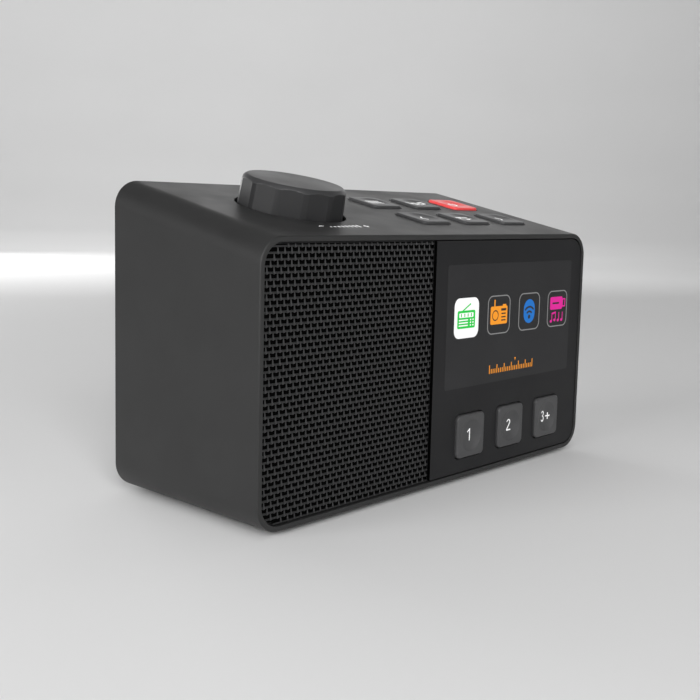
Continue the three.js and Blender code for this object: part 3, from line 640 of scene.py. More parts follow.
def grille_outline():
    """(middle x, middle z, width, height, radii) of the grille, from its CAD plate."""
    low, high = (CASE.inverted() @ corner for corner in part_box("speaker_grille"))
    radii = [GRILLE_RADIUS, GRILLE_RADIUS, INNER_RADIUS, INNER_RADIUS]
    return (low.x + high.x) / 2, (low.z + high.z) / 2, high.x - low.x, high.z - low.z, radii


def left_edge(z, low, high, left, radius):
    """Where the grille's rounded left end is at that height."""
    drop = max(low + radius - z, z - (high - radius), 0.0)
    return left + radius - math.sqrt(max(radius ** 2 - drop ** 2, 0.0))


def add_wire(bm, x0, x1, z):
    """One horizontal wire: a flat rod with its front edges rounded off."""
    half = (GRILLE_PITCH_Z - HOLE_HEIGHT) / 2
    section = [
        (WIRE_BACK, -half), (WIRE_BACK, half), (WIRE_FRONT + WIRE_EASE, half),
        (WIRE_FRONT, half * 0.4), (WIRE_FRONT, -half * 0.4), (WIRE_FRONT + WIRE_EASE, -half),
    ]
    loft(bm, [[(x, y, z + dz) for y, dz in section] for x in (x0, x1)])


def add_grain(bm, x, top, bottom):
    """One raised rice-grain bridge: thin where it dives under at its top, full at its foot."""
    rings = []
    for share, half, front in GRAIN_STATIONS:
        level = top - share * (top - bottom)
        section = [
            (-1, WIRE_BACK), (1, WIRE_BACK), (1, front + 0.13), (0.7, front + 0.04),
            (0.25, front), (-0.25, front), (-0.7, front + 0.04), (-1, front + 0.13),
        ]
        rings.append([(x + side * half, y, level) for side, y in section])
    loft(bm, rings)


def build_grille():
    middle_x, middle_z, width, height, radii = grille_outline()
    left, right = middle_x - width / 2, middle_x + width / 2
    low, high = middle_z - height / 2, middle_z + height / 2
    weave = bmesh.new()
    for row in range(-1, int((high - GRILLE_FIRST_Z) / GRILLE_PITCH_Z) + 2):
        z = GRILLE_FIRST_Z + row * GRILLE_PITCH_Z
        wire_z = z + GRILLE_PITCH_Z / 2
        if low < wire_z < high:
            add_wire(weave, left_edge(wire_z, low, high, left, radii[2]), right, wire_z)
        top = min(z + GRAIN_TOP, high)
        bottom = max(z - GRAIN_BOTTOM, low)
        if top - bottom < GRAIN_SHORTEST:
            continue
        edge = max(left_edge(level, low, high, left, radii[2]) for level in (top, bottom))
        stagger = 0.5 if row % 2 else 0.0
        for column in range(-3, int(width / GRILLE_PITCH_X) + 2):
            x = GRILLE_FIRST_X + (column + 0.5 + stagger) * GRILLE_PITCH_X
            if edge + GRAIN_MARGIN < x < right - GRAIN_MARGIN:
                add_grain(weave, x, top, bottom)
    add_piece("grille_weave", weave, CASE, "grille", replaces=["speaker_grille"], crease=60)

    edge = rounded(width, height, radii, 12)
    opening = rounded(width - 2 * BORDER, height - 2 * BORDER, [r - BORDER for r in radii], 12)
    border = filled([edge, opening], WIRE_BACK - BORDER_DEPTH)
    add_piece("grille_border", border, at(FRONT, middle_x, middle_z, -BORDER_DEPTH), "grille")


build_grille()

# ---- fascia and window

fascia_middle, fascia_size = local_box("fascia_panel", FRONT)
FASCIA_FACE = fascia_middle.z + fascia_size.z / 2
window_middle, window_size = local_box("display_window", FRONT)
LENS_PROUD = 0.03
LENS_RADIUS = 1.2
FASCIA_RADIUS = 0.3
FASCIA_BEVEL = 0.12
fascia_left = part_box("fascia_panel")[0].x


def build_fascia():
    radii = [INNER_RADIUS, INNER_RADIUS, FASCIA_RADIUS, FASCIA_RADIUS]
    edge = rounded(fascia_size.x, fascia_size.y, radii, 12)
    holes = []
    for node in PRESET_KEYS:
        x, y, width, height = key_place(node, FRONT)
        hole = shrunk(width, height, KEY_RADIUS, -KEY_GAP)
        holes.append(moved(hole, x - fascia_middle.x, y - fascia_middle.y))
    panel = filled([edge, *holes], fascia_size.z, FASCIA_BEVEL, 3)
    place = at(FRONT, fascia_middle.x, fascia_middle.y, FASCIA_FACE)
    fascia = add_piece("fascia_skin", panel, place, "fascia", replaces=["fascia_panel"])
    # painted shade: the fascia's left side wall gets the near-black painted-shade material
    fascia.data.materials.append(PAINTED_SHADE_EDGE)
    for face in fascia.data.polygons:
        if face.normal.x < -0.5 and face.center.x < fascia_left + FASCIA_BEVEL * MM:
            face.material_index = 1

    levels = [(0, -window_size.z), (0, LENS_PROUD)]
    lens = slab(window_size.x, window_size.y, LENS_RADIUS, levels)
    place = at(FRONT, window_middle.x, window_middle.y, FASCIA_FACE)
    add_piece("window_lens", lens, place, "window", replaces=["display_window"])


build_fascia()

# ---- printed and lit shapes

INK = 0.04


def stamp(name, shapes, matrix, material, slot, body="case", surface=None):
    """Thin raised shapes: each is a list of outlines, an edge and its holes. surface(x, y) gives
    the height that they follow."""
    bm = bmesh.new()
    for outlines in shapes:
        absorb(bm, filled(outlines, INK))
    bm.transform(at(UNMOVED, z=INK))
    if surface:
        for vertex in bm.verts:
            vertex.co.z += surface(vertex.co.x, vertex.co.y)
    return add_piece(name, bm, matrix, slot, body, material=material)


DIGIT_STROKE = 0.49


def digit_shapes(text):
    """A key's number drawn with plain strokes, 4.5 mm high."""
    stroke = DIGIT_STROKE
    plus_x, three_x = 2.15, -1.6
    return {
        "1": [[bar((0.4, -2.25), (0.4, 2.25), stroke)], [bar((-0.85, 1.0), (0.45, 2.1), stroke)]],
        "2": [
            [arc_band((0, 1.0), 1.0, stroke, -25, 170)],
            [bar((0.92, 0.62), (-1.2, -1.9), stroke)],
            [bar((-1.35, -1.98), (1.35, -1.98), stroke)],
        ],
        "3+": [
            [arc_band((three_x, 1.05), 0.92, stroke, -90, 160)],
            [arc_band((three_x, -0.92), 1.05, stroke, -160, 90)],
            [bar((plus_x - 1.35, -0.2), (plus_x + 1.35, -0.2), stroke)],
            [bar((plus_x, -1.55), (plus_x, 1.15), stroke)],
        ],
    }[text]


# ---- keys

PRESET_DISH = ((6.1, 6.1), 1.25)
TOP_DISH = ((6.2, 5.8), 0.6)
DISH_SHARES = (1.0, 0.9, 0.78, 0.64, 0.48, 0.3, 0.12)
KEY_STEPS = 12
KEY_CREASE = 9.5
PRESET_KEY_BASE = 3
SIGN_STROKE = 0.75


def dish(half_width, half_height, depth, level):
    """The height of a shallow bowl in a key's face."""
    def height(x, y):
        share = (x / half_width) ** 2 + (y / half_height) ** 2
        return level - depth * max(0.0, 1 - share)
    return height


def build_key(node, matrix, slot, half_dish, dish_depth, base):
    """A keycap with a dished face. Returns its place and its face's height function."""
    x, y, width, depth = key_place(node, matrix)
    middle, size = local_box(node, matrix)
    face = middle.z + size.z / 2
    surface = dish(*half_dish, dish_depth, face)
    count = 4 * (KEY_STEPS + 1)
    levels = [(-KEY_FLANGE, base - 1), (-KEY_FLANGE, base), (0.0, base)]
    levels += fillet(KEY_EDGE, face, 10)
    rings = []
    for inset, level in levels:
        outline = shrunk(width, depth, KEY_RADIUS, inset, KEY_STEPS)
        rings.append([(px, py, level) for px, py in outline])
    for share in DISH_SHARES:
        outline = ellipse(half_dish[0] * share, half_dish[1] * share, count)
        rings.append([(px, py, surface(px, py)) for px, py in outline])
    bm = bmesh.new()
    loft(bm, rings)
    place = at(matrix, x, y)
    add_piece(f"{node}_cap", bm, place, slot, node, replaces=[node], crease=KEY_CREASE)
    return place, surface


def build_preset_keys():
    for number, node in zip(("1", "2", "3+"), PRESET_KEYS):
        base = FASCIA_FACE - PRESET_KEY_BASE
        place, surface = build_key(node, FRONT, "key", *PRESET_DISH, base)
        shapes = digit_shapes(number)
        stamp(f"{node}_number", shapes, place, WHITE_INK_PAINTED_GLOW, "key", node, surface)


def key_symbols():
    """A generic sign for each top key, as shapes round its middle."""
    stroke = SIGN_STROKE
    back, onward = (
        [[bar((side, y), (-side, 0.0), stroke)] for y in (1.9, -1.9)] for side in (1.0, -1.0)
    )
    sheet = [rounded(2.6, 3.4, 0.3), rounded(1.2, 2.0, 0.1)]
    return {
        "top_key_1": back,
        "top_key_2": [[bar((-3.6, y), (3.6, y), stroke)] for y in (-1.1, 1.1)]
        + [[moved(ellipse(0.9, 0.9, 24), x, y)] for x, y in ((-1.4, 1.1), (1.6, -1.1))],
        "top_key_3": onward,
        "top_key_4": [[bar((-3.8, y), (3.8, y), stroke)] for y in (-1.6, 0.0, 1.6)],
        "top_key_5": [[moved(outline, x, 0) for outline in sheet] for x in (-3.6, 0.0, 3.6)],
        "top_power_key": [
            [arc_band((0, 0), 1.9, stroke, -230, 50, 32)],
            [bar((0.0, 0.5), (0.0, 2.5), stroke)],
        ],
    }


def build_top_keys():
    symbols = key_symbols()
    for node in TOP_KEYS:
        slot = "key_red" if node == "top_power_key" else "key"
        place, surface = build_key(node, TOP, slot, *TOP_DISH, -WALL - SEAM)
        stamp(f"{node}_sign", symbols[node], place, WHITE_INK_PAINTED_GLOW, "key", node, surface)


build_preset_keys()
build_top_keys()

# ---- volume knob

KNOB_RADIUS = 18.4
KNOB_SHOULDER_RADIUS = 18.0
KNOB_FACE_RADIUS = 16.5
KNOB_HEIGHT = 9.8
KNOB_BOTTOM = -1.6
KNOB_SHOULDER = 8.3
KNOB_SLOPE = [(0, -0.1), (0.06, 0.05), (0.15, 0.2)]
KNOB_SLOPE += [(0.25 + 0.9 * rise, 0.35 + rise) for rise in (0, 0.1, 0.2, 0.3, 0.4, 0.5)]
KNOB_FACE = [(0.2, -0.16), (0, -0.04), (-0.3, 0), (-KNOB_FACE_RADIUS / 2, 0)]
KNOB_BORE = 3.1
KNOB_HUB = 6
KNOB_HOLLOW_RADIUS = 16.2
KNOB_HOLLOW_TOP = 7.3
KNOB_TAPER = (KNOB_RADIUS - KNOB_SHOULDER_RADIUS) / (KNOB_SHOULDER - KNOB_BOTTOM)
# normal tilt range of the knob faces that get the painted highlight
KNOB_HIGHLIGHT_TILT = (0.3, 0.95)
FLUTE_COUNT = 12
FLUTE_DEPTH = 0.4
FLUTE_HALF = 4.0
FLUTE_SIDE = 0.9
MARKS_PLACE = (-43.4, 11.9)
FLUTE_STATIONS = (0.0, 1.6, 3.1, 3.25, 3.4, 3.55, 3.7, 3.85, 4.0, 4.4)


def smooth(share):
    """An eased step from 0 to 1."""
    share = min(max(share, 0.0), 1.0)
    return share * share * (3 - 2 * share)


def fluted_radius(radius, height, offset):
    """The knob's outline at that height, that far in radians from the middle of a flute: each
    flute has a flat floor and sloping sides, and runs out in the slope under the face."""
    wall = KNOB_RADIUS - KNOB_TAPER * (height - KNOB_BOTTOM)
    floor = min((wall - FLUTE_DEPTH) / math.cos(offset), wall)
    share = smooth((FLUTE_HALF - abs(offset) * wall) / FLUTE_SIDE)
    return min(radius, wall - (wall - floor) * share)


def build_knob():
    pitch = 2 * math.pi / FLUTE_COUNT
    offsets = [station / KNOB_RADIUS for station in FLUTE_STATIONS]
    offsets = [-offset for offset in offsets[:0:-1]] + offsets + [pitch / 2]
    heights = (KNOB_BOTTOM, KNOB_BOTTOM + 0.3, 1, 4)
    side = [(KNOB_RADIUS - KNOB_TAPER * (height - KNOB_BOTTOM), height) for height in heights]
    slope = [(KNOB_SHOULDER_RADIUS - inset, KNOB_SHOULDER + rise) for inset, rise in KNOB_SLOPE]
    crown = [(KNOB_FACE_RADIUS + out, KNOB_HEIGHT + rise) for out, rise in KNOB_FACE]
    rings = []
    for radius, height in [*side, *slope, *crown, (POINT_RADIUS, KNOB_HEIGHT)]:
        ring = []
        for flute in range(FLUTE_COUNT):
            for offset in offsets:
                angle = (flute + 0.5) * pitch + offset
                reach = fluted_radius(radius, height, offset)
                ring.append((reach * math.cos(angle), reach * math.sin(angle), height))
        rings.append(ring)
    knob = bmesh.new()
    loft(knob, rings, start_cap=False)
    knob.normal_update()
    # painted highlight: the sloping faces round the knob's shoulder get the lighter
    # painted-highlight material
    for face in knob.faces:
        if KNOB_HIGHLIGHT_TILT[0] < abs(face.normal.z) < KNOB_HIGHLIGHT_TILT[1]:
            face.material_index = 1
    underside = turned([
        (KNOB_BORE, 6), (KNOB_BORE, -1), (KNOB_HUB, -1), (KNOB_HUB, KNOB_HOLLOW_TOP),
        (KNOB_HOLLOW_RADIUS, KNOB_HOLLOW_TOP), (KNOB_HOLLOW_RADIUS, KNOB_BOTTOM),
        (KNOB_RADIUS - FLUTE_DEPTH - 0.1, KNOB_BOTTOM),
    ], ROUND)
    absorb(knob, underside)
    place = at(TOP, KNOB_X, KNOB_Y)
    skin = add_piece(
        "volume_knob_skin", knob, place, "knob", "knob", replaces=["volume_knob"], crease=25,
    )
    skin.data.materials.append(KNOB_PAINTED_HIGHLIGHT)


def build_volume_marks():
    """A minus, a growing wedge and a plus printed in front of the knob."""
    minus = [bar((-11.6, 0.0), (-9.6, 0.0), 0.5)]
    plus = [[bar((9.6, 0.0), (12.0, 0.0), 0.5)], [bar((10.8, -1.2), (10.8, 1.2), 0.5)]]
    steps = [[bar((x, -1.3), (x, -1.3 + 0.6 + (x + 7) * 0.15), 0.7)] for x in range(-7, 8, 2)]
    stamp("volume_marks", [minus, *plus, *steps], at(TOP, *MARKS_PLACE), WHITE_INK_PAINTED_GLOW, "shell")


build_knob()
build_volume_marks()

# ---- what the screen shows

TILE = 14.6
TILE_RADIUS = 2.9
TILE_LINE = 0.42
TILE_Z = 59.0
TILE_X = [10.1, 30.4, 50.9, 71.3]
SCALE_PLACE = (40.0, 38.4)
TICK_PITCH = 1.2
TICKS_EACH_SIDE = 12
TICK_FOOT = -1.5
TICK_WIDTH = 0.42
LONG_TICK = 3.2
SHORT_TICK = 1.7
MARKER = [(1.9, 3.3), (2.4, 2.2), (2.9, 3.3)]


def lozenge(x, y, width, height, radius):
    return moved(rounded(width, height, radius), x, y)


def lines(x, levels, width, height):
    return [lozenge(x, level, width, height, height / 2) for level in levels]


def digital_radio_symbol():
    """A little radio: tuning slot, loudspeaker lines and keys cut out of it, and its rod."""
    slot = lozenge(-0.2, 1.05, 8.6, 1.7, 0.4)
    keys = [lozenge(x, y, 0.8, 0.55, 0.2) for x in (2.4, 3.9) for y in (-0.7, -1.7, -2.7)]
    cut_outs = [slot, *lines(-1.9, (-0.7, -1.7, -2.7), 5.6, 0.45), *keys]
    needles = [[lozenge(x, 1.05, 0.5, 1.2, 0.1)] for x in (-3.2, -1.2, 0.8, 2.8)]
    rod_shape = [bar((-2.7, 2.5), (2.3, 5.1), 0.5)]
    return [[lozenge(-0.2, -0.5, 10.6, 6.5, 0.7), *cut_outs], *needles, rod_shape]


def tuned_radio_symbol():
    """A little radio: a ringed dial, a slot, lines and an upright rod."""
    dial_place = (-2.3, -0.25)
    dial = moved(ellipse(2.05, 2.05, 32), *dial_place)
    dial_face = [moved(ellipse(1.6, 1.6, 32), *dial_place)]
    cut_outs = [dial, lozenge(3.0, 1.8, 3.4, 0.9, 0.2), *lines(3.0, (0.3, -1.0, -2.2), 3.0, 0.5)]
    return [
        [lozenge(0, -0.2, 10.8, 6.8, 0.7), *cut_outs],
        dial_face,
        [lozenge(3.4, 3.4, 2.2, 0.8, 0.2)],
        [bar((-2.9, 3.0), (-2.9, 5.7), 0.65)],
    ]


def quaver(x, y):
    return [[moved(ellipse(0.75, 0.55, 20), x, y)], [bar((x + 0.6, y), (x + 0.6, y + 3.2), 0.4)]]


def build_screen():
    place = at(FRONT, 0, 0, FASCIA_FACE + LENS_PROUD)
    tiles = [at(place, x, TILE_Z) for x in TILE_X]
    raised = [at(tile, 0, 0, INK) for tile in tiles]
    stamp("tile_1", [[rounded(TILE, TILE, TILE_RADIUS)]], tiles[0], SCREEN["white"], "window")
    for number, tile in enumerate(tiles[1:], start=2):
        outline = [shrunk(TILE, TILE, TILE_RADIUS, inset) for inset in (0, TILE_LINE)]
        stamp(f"tile_{number}", [outline], tile, SCREEN["grey"], "window")
    stamp("digital_radio", digital_radio_symbol(), raised[0], SCREEN["green"], "window")
    stamp("tuned_radio", tuned_radio_symbol(), tiles[1], SCREEN["orange"], "window")
    stamp("wireless_pill", [[lozenge(0, 0.1, 7.6, 9.3, 3.7)]], tiles[2], SCREEN["blue"], "window")
    waves = [[arc_band((0, -2.4), radius, 0.75, 45, 135)] for radius in (2.4, 4.2)]
    dot = [moved(ellipse(0.8, 0.8, 24), 0, -2.1)]
    stamp("wireless_waves", [*waves, dot], raised[2], SCREEN["dark"], "window")
    stick = [lozenge(-0.8, 2.2, 9.0, 5.1, 0.8), lozenge(-1.2, 2.2, 5.0, 0.7, 0.3)]
    plug = [lozenge(4.8, 2.2, 2.3, 3.4, 0.3), lozenge(4.8, 2.2, 1.3, 2.4, 0.2)]
    pair = [*quaver(-4.3, -5.0), *quaver(-1.7, -4.6), [bar((-3.9, -2.0), (-0.9, -1.5), 0.7)]]
    notes = [*pair, *quaver(0.9, -4.8), *quaver(3.5, -4.8)]
    stamp("stick_and_notes", [stick, plug, *notes], tiles[3], SCREEN["magenta"], "window")


def build_tuning_scale():
    """A plain tuning scale with its marker, where the screen names the source."""
    marks = []
    for index in range(-TICKS_EACH_SIDE, TICKS_EACH_SIDE + 1):
        x = index * TICK_PITCH
        height = LONG_TICK if index % 4 == 0 else SHORT_TICK
        marks.append([bar((x, TICK_FOOT), (x, TICK_FOOT + height), TICK_WIDTH)])
    marks.append([MARKER])
    place = at(FRONT, *SCALE_PLACE, FASCIA_FACE + LENS_PROUD)
    stamp("tuning_scale", marks, place, SCREEN["orange"], "window")


build_screen()
build_tuning_scale()

# ---- rear cover, sockets, screws

SOCKET_MARGIN = 0.5
SCREW_RECESS = 1.2
SCREW_RECESS_RADIUS = 3.3
SCREW_BORE = 1.8
SCREW_HEAD = 1.3
SCREW_CROSS = 3.4
SHANK_RADIUS = 1.4
POST_OPENING = 3.3
OPENING_RADIUS = 0.8
BLOCK_DEPTH = 10
LIP = 0.35
USB_WALL = 0.5
TONGUE = 0.7
SIGN_RISE = 9
rear_middle, rear_size = local_box("rear_cover", REAR)
REAR_FACE = rear_middle.z + rear_size.z / 2
SOCKETS = ["power_socket", "line_socket", "headphone_socket", "usb_socket"]
REAR_SCREWS = [f"rear_screw_{number}" for number in (1, 2, 3, 4)]


def build_rear_cover():
    """Two layers: the outer one has the wide screw recesses, the inner one their bores."""
    post = local_box("aerial_swivel", REAR)[0]
    openings = [moved(ellipse(POST_OPENING, POST_OPENING, 40), post.x, post.y)]
    for node in SOCKETS:
        middle, size = local_box(node, REAR)
        width, height = size.x + 2 * SOCKET_MARGIN, size.y + 2 * SOCKET_MARGIN
        openings.append(lozenge(middle.x, middle.y, width, height, OPENING_RADIUS))
    screws = [local_box(node, REAR)[0] for node in REAR_SCREWS]
    edge = lozenge(rear_middle.x, rear_middle.y, rear_size.x, rear_size.y, INNER_RADIUS)
    cover = bmesh.new()
    layers = (
        (REAR_FACE, SCREW_RECESS_RADIUS, 0.25),
        (REAR_FACE - SCREW_RECESS, SCREW_BORE, 0.0),
    )
    for face, radius, bevel in layers:
        holes = [moved(ellipse(radius, radius, 40), screw.x, screw.y) for screw in screws]
        sheet = filled([edge, *openings, *holes], SCREW_RECESS, bevel)
        absorb(cover, sheet, at(UNMOVED, z=face))
    add_piece("rear_cover_skin", cover, REAR, "rear", replaces=["rear_cover"])


def build_round_socket(node, bore, pin):
    """A moulded socket block with a round mouth, a metal lip and, for power, its pin."""
    place, size = on_face(node, REAR)
    block = filled([rounded(size.x, size.y, 0.6), ellipse(bore, bore, 40)], BLOCK_DEPTH, 0.2)
    absorb(block, slab(size.x - 0.4, size.y - 0.4, 0.4, [(0, -size.z), (0, -BLOCK_DEPTH)]))
    add_piece(f"{node}_block", block, place, "inner_plastic", replaces=[node])
    lip = turned([
        (bore - LIP, -6), (bore, -6), (bore, -0.3), (bore - 0.1, -0.12), (bore - LIP, -0.3),
    ], closed=True)
    add_piece(f"{node}_lip", lip, place, "steel")
    if pin:
        foot = 0.1 - BLOCK_DEPTH
        contact = turned([(0, foot), (pin, foot), (pin, -1.7), (pin * 0.7, -1.2), (0, -1.05)], 32)
        add_piece(f"{node}_pin", contact, place, "steel")


def build_usb_socket():
    place, size = on_face("usb_socket", REAR)
    mouth = rounded(size.x - 2 * USB_WALL, size.y - 2 * USB_WALL, 0.7)
    socket_frame = filled([rounded(size.x, size.y, 1.1), mouth], size.z, 0.12)
    add_piece("usb_socket_frame", socket_frame, place, "chrome", replaces=["usb_socket"])
    levels = [(0.1, -size.z), (0, -size.z), (0, -0.8), (0.1, -0.6)]
    tongue = slab(size.x - 4 * USB_WALL, TONGUE, 0.2, levels)
    back = [(0, -size.z), (0, 0.8 - size.z)]
    slab(size.x - USB_WALL, size.y - USB_WALL, 0.9, back, bm=tongue)
    add_piece("usb_socket_tongue", tongue, place, "inner_plastic")


def screw_head(radius):
    """A pan head with a cross cut into it, with its seat at height 0."""
    height = SCREW_HEAD
    head = turned([
        (0, 0), (radius, 0), (radius, height * 0.35), (radius * 0.93, height * 0.62),
        (radius * 0.72, height * 0.88), (radius * 0.35, height), (0, height),
    ], 40)
    levels = [(0.25, height * 0.3), (0, height + 1)]
    bit = (SCREW_CROSS, SCREW_CROSS * 0.24)
    return carve(head, [(slab(*size, 0.1, levels, 3), UNMOVED) for size in (bit, bit[::-1])])


def build_rear_screws():
    for node in REAR_SCREWS:
        place, size = on_face(node, REAR)
        screw = screw_head(size.x / 2)
        end = SCREW_HEAD - size.z
        absorb(screw, turned([(0, end), (SHANK_RADIUS, end + 1), (SHANK_RADIUS, 0.1)], 24))
        seat = at(place, z=-SCREW_HEAD)
        add_piece(f"{node}_part", screw, seat, "steel", replaces=[node])


def build_socket_signs():
    """Plain signs over the sockets: polarity, an arrow out, headphones and a plug."""
    ring = [ellipse(0.9, 0.9, 28), ellipse(0.6, 0.6, 28)]
    signs = {
        "power_socket": [
            [moved(outline, x, 0) for outline in ring] for x in (-2.8, 0.0, 2.8)
        ] + [[bar((-1.9, 0), (-0.9, 0), 0.3)], [bar((0.9, 0), (1.9, 0), 0.3)]],
        "line_socket": [
            [bar((-1.8, 0), (0.6, 0), 0.4)],
            [[(0.4, -0.9), (1.9, 0.0), (0.4, 0.9)]],
        ],
        "headphone_socket": [
            [arc_band((0, -0.4), 1.3, 0.35, 0, 180)],
            [lozenge(-1.3, -0.8, 0.7, 1.2, 0.2)],
            [lozenge(1.3, -0.8, 0.7, 1.2, 0.2)],
        ],
        "usb_socket": [[lozenge(-0.6, 0, 2.8, 1.3, 0.3)], [lozenge(1.3, 0, 0.7, 0.8, 0.1)]],
    }
    for node, shapes in signs.items():
        middle = local_box(node, REAR)[0]
        place = at(REAR, middle.x, middle.y + SIGN_RISE, REAR_FACE)
        stamp(f"{node}_sign", shapes, place, GREY_INK, "rear")


def build_feet():
    for number in (1, 2, 3, 4):
        node = f"foot_{number}"
        place, size = on_face(node, CASE)
        radius, height = size.x / 2, size.z
        foot = turned([
            (0, 0.25), (radius - 2.6, 0.25), (radius - 2.2, 0), (radius - 0.7, 0),
            (radius - 0.2, 0.2), (radius, 0.6), (radius, height), (0, height),
        ])
        add_piece(f"{node}_pad", foot, at(place, z=-height), "rubber", replaces=[node])


def build_ledge():
    place, size = on_face("aerial_ledge", REAR)
    ledge = slab(size.x, size.y, 0.6, [(0, -size.z)] + fillet(0.5, 0), 6)
    add_piece("aerial_ledge_part", ledge, place, "rear", replaces=["aerial_ledge"])


build_rear_cover()
build_round_socket("power_socket", 3.1, 0.9)
build_round_socket("line_socket", 1.8, 0)
build_round_socket("headphone_socket", 1.8, 0)
build_usb_socket()
build_rear_screws()
build_socket_signs()
build_feet()
build_ledge()

# ---- telescopic aerial

PIVOT = local_box("aerial_pin", CASE)[0]
AERIAL = at(CASE, *PIVOT)
ALONG = AERIAL @ turn(-90, "Y")
TUBE_WALL = 0.4
EAR_RADIUS = 3.4
LUG_HALF = 1.7
EAR_LOW = 1.9
EAR_HIGH = 3.4
EAR_THICK = EAR_HIGH - EAR_LOW
ARM_OVERLAP = 1.6
PIN_HOLE = 1.3
PIN_RADIUS = 1.2
PIN_EASE = 0.8
TUBE_RADIUS = 3.0
TUBE_NEAR_END = [(0, 6.4), (2.2, 6.5), (2.8, 6.9), (TUBE_RADIUS, 7.5)]
TUBE_BORE_END = 9
CRIMP = 0.12
SWIVEL_PLATE = [(0, -4), (3, -4), (3, 0), (6, 0), (6, 1.6), (5.85, 1.9), (5.6, 2), (0, 2)]


def disc(low, high, edge=0.25):
    """A flat eye for the pin with rounded outer edges, from height low to high."""
    outer = EAR_RADIUS
    return turned([
        (PIN_HOLE, low), (outer - edge, low), (outer - edge * 0.3, low + edge * 0.3),
        (outer, low + edge), (outer, high - edge), (outer - edge * 0.3, high - edge * 0.3),
        (outer - edge, high), (PIN_HOLE, high),
    ], closed=True)


def build_swivel():
    """A disc on its post, and two ears with the rod's lug between them."""
    front = local_box("rear_cover", AERIAL)[0].y + rear_size.z / 2 + SEAM
    swivel = placed(turned(SWIVEL_PLATE, 64), at(UNMOVED, y=front) @ turn(-90, "X"))
    for level in (EAR_LOW, -EAR_HIGH):
        absorb(swivel, disc(level, level + EAR_THICK))
        reach = [(0, ARM_OVERLAP), (0, -front - ARM_OVERLAP)]
        arm = slab(2 * EAR_RADIUS, EAR_THICK, 0.25, reach, 4)
        absorb(swivel, arm, at(UNMOVED, z=level + EAR_THICK / 2) @ turn(90, "X"))
    name = BODY_OF["aerial_swivel"]
    add_piece("aerial_swivel_part", swivel, AERIAL, "inner_plastic", name, ["aerial_swivel"])


def build_pin():
    half = [(0, EAR_HIGH + 0.1), (PIN_EASE, EAR_HIGH + 0.05), (PIN_RADIUS, EAR_HIGH - 0.2)]
    pin = turned([(radius, -height) for radius, height in half] + half[::-1], 32)
    add_piece("aerial_pin_part", pin, AERIAL, "steel", BODY_OF["aerial_pin"], ["aerial_pin"])


def tube_profile(outer, inner, end):
    """A drawn tube's far end: a crimp, then a rolled mouth."""
    return [
        (outer, end - 2.6), (outer - CRIMP, end - 2.3), (outer - CRIMP, end - 1.9),
        (outer, end - 1.6), (outer, end - 0.3), (outer - CRIMP, end - 0.08),
        (outer - 0.3, end), (inner, end - 0.1),
    ]


def span(node):
    """(radius, start, end) of a CAD node along the aerial."""
    middle, size = local_box(node, ALONG)
    return min(size.x, size.y) / 2, middle.z - size.z / 2, middle.z + size.z / 2


def build_outer_tube():
    """The thickest tube, closed at its near end, with its neck and the eye round the pin."""
    inner = TUBE_RADIUS - TUBE_WALL
    far = tube_profile(TUBE_RADIUS, inner, span("aerial_section_1")[2])
    tube = turned([*TUBE_NEAR_END, *far, (inner, TUBE_BORE_END), (0, TUBE_BORE_END)])
    body = BODY_OF["aerial_section_1"]
    add_piece("aerial_tube_1", tube, ALONG, "chrome", body, ["aerial_section_1"])
    lug = disc(-LUG_HALF, LUG_HALF)
    neck = slab(5.4, 2 * LUG_HALF, 0.4, [(0, 2.2), (0, 7.2)], 4)
    absorb(lug, neck, turn(-90, "Y") @ turn(90, "Z"))
    add_piece("aerial_lug", lug, AERIAL, "chrome", body)


def build_sections():
    for number in (2, 3, 4, 5):
        node = f"aerial_section_{number}"
        radius, start, end = span(node)
        if number < 5:
            inner = radius - TUBE_WALL
            profile = [(inner, start), (radius, start), *tube_profile(radius, inner, end)]
            section = turned(profile, closed=True)
        else:
            section = turned([(0, start), (radius, start), (radius, end), (0, end)], 32)
        add_piece(f"aerial_tube_{number}", section, ALONG, "chrome", BODY_OF[node], [node])


def build_tip():
    radius, start, end = span("aerial_tip")
    tip = turned([
        (1.1, start + 1.6), (1.1, start), (radius - 0.3, start), (radius, start + 0.3),
        (radius, start + 1.9), (radius - 0.25, start + 2.1), (radius - 0.25, start + 2.4),
        (radius, start + 2.6), (radius, end - 1.6), (radius * 0.9, end - 0.8),
        (radius * 0.62, end - 0.25), (radius * 0.3, end - 0.04), (0, end),
    ])
    add_piece("aerial_tip_part", tip, ALONG, "chrome", BODY_OF["aerial_tip"], ["aerial_tip"])


build_swivel()
build_pin()
build_outer_tube()
build_sections()
build_tip()

# ---- camera, lights, floor

CAMERA_FROM_CORNER = Vector((-193.7, -216.0, 97.8))
CAMERA_AZIMUTH = 0.826
CAMERA_DROP = 0.113
CAMERA_ROLL = 0.024
CAMERA_LENS = 51.95
CAMERA_SHIFT = (-0.0077, -0.0403)


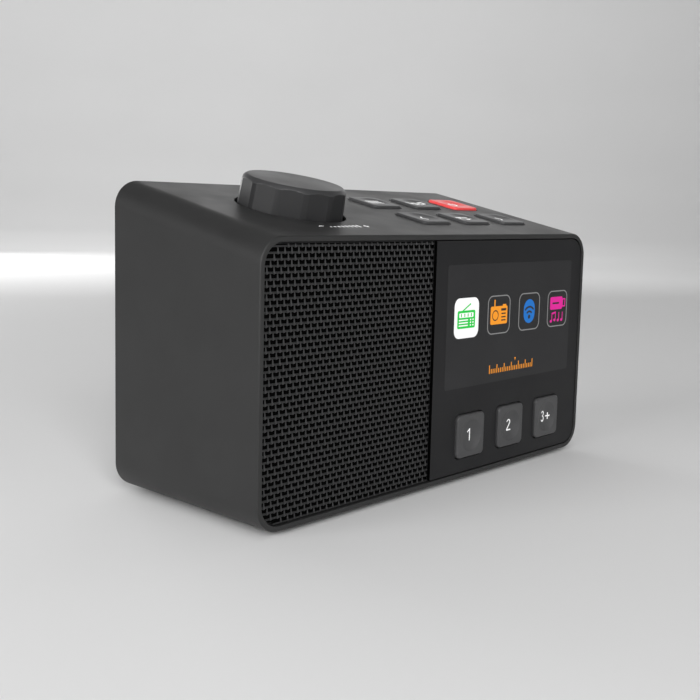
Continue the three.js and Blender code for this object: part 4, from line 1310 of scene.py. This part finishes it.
def add_camera():
    camera = bpy.data.cameras.new("camera")
    camera.sensor_width = 36
    camera.lens = CAMERA_LENS
    camera.shift_x, camera.shift_y = CAMERA_SHIFT
    camera.clip_start = 0.01
    obj = bpy.data.objects.new("camera", camera)
    level = Vector((math.cos(CAMERA_AZIMUTH), -math.sin(CAMERA_AZIMUTH), 0))
    ahead = Vector((math.sin(CAMERA_AZIMUTH), math.cos(CAMERA_AZIMUTH), 0))
    forward = ahead * math.cos(CAMERA_DROP) - Vector((0, 0, math.sin(CAMERA_DROP)))
    raised = level.cross(forward)
    right = level * math.cos(CAMERA_ROLL) + raised * math.sin(CAMERA_ROLL)
    up = raised * math.cos(CAMERA_ROLL) - level * math.sin(CAMERA_ROLL)
    corner = Vector((-CASE_WIDTH / 2, 0, 0))
    axes = Matrix((right, up, -forward)).transposed().to_4x4()
    obj.matrix_world = Matrix.Translation(CASE @ (corner + CAMERA_FROM_CORNER)) @ axes
    bpy.context.scene.collection.objects.link(obj)
    bpy.context.scene.camera = obj


def add_light(name, place, target, size, watts):
    light = bpy.data.lights.new(name, "AREA")
    light.shape = "RECTANGLE"
    light.size, light.size_y = size
    light.energy = watts
    obj = bpy.data.objects.new(name, light)
    obj.location = place
    obj.rotation_euler = (Vector(target) - Vector(place)).to_track_quat("-Z", "Y").to_euler()
    obj.visible_camera = False
    bpy.context.scene.collection.objects.link(obj)


BACKDROP = [
    (0.0, 0.0), (1.0, 0.0), (2.0, 0.0), (2.5, 0.02), (2.9, 0.1), (3.25, 0.28), (3.5, 0.55),
    (3.65, 0.9), (3.7, 1.3), (3.7, 2.6),
]


def add_backdrop():
    """A pale floor that sweeps up into a round backdrop."""
    surface = Surface("floor_paper", srgb(226, 226, 226), 0.9, specular=0.2)
    surface.varied(0.01, 3)
    bm = turned(BACKDROP, ROUND, end_cap=False)
    backdrop = make_object("backdrop", bm, surface.material, 60)


def add_world(value):
    world = bpy.data.worlds.new("studio")
    world.use_nodes = True
    world.node_tree.nodes["Background"].inputs["Color"].default_value = (value, value, value, 1)
    bpy.context.scene.world = world


WORLD_LIGHT = 0.03
SOFTBOXES = {
    "overhead": ((0.1, 0.3, 1.6), (0, 0, 0), (1.6, 1.6), 2.8),
    "high_left": ((-0.47, -0.44, 1.38), (0, 0, 0.05), (0.6, 0.6), 2.2),
    "left": ((-1.5, 0.2, 0.5), (0, 0, 0.05), (1.0, 0.8), 12.6),
    "front": ((0.45, -1.5, 0.3), (0, 0, 0.05), (0.9, 0.5), 3.4),
    "near_left": ((-0.6, -0.75, 0.5), (0, 0, 0.05), (0.5, 0.5), 7.4),
    "back_right": ((1.0, 0.8, 0.55), (0, 0, 0.08), (0.9, 0.4), 1.3),
    "rear": ((0.2, 1.5, 0.4), (0, 0, 0.05), (0.8, 0.5), 7.0),
    "right": ((1.4, -0.1, 0.7), (0, 0, 0.05), (0.8, 0.8), 1.0),
    "backdrop_wash": ((0.7, 0.9, 1.5), (2.2, 3.2, 0.7), (1.6, 0.6), 37.0),
}

add_camera()
add_backdrop()
add_world(WORLD_LIGHT)
for light_name, (place, target, size, watts) in SOFTBOXES.items():
    add_light(light_name, place, target, size, watts)
bpy.context.scene.view_settings.view_transform = "Standard"
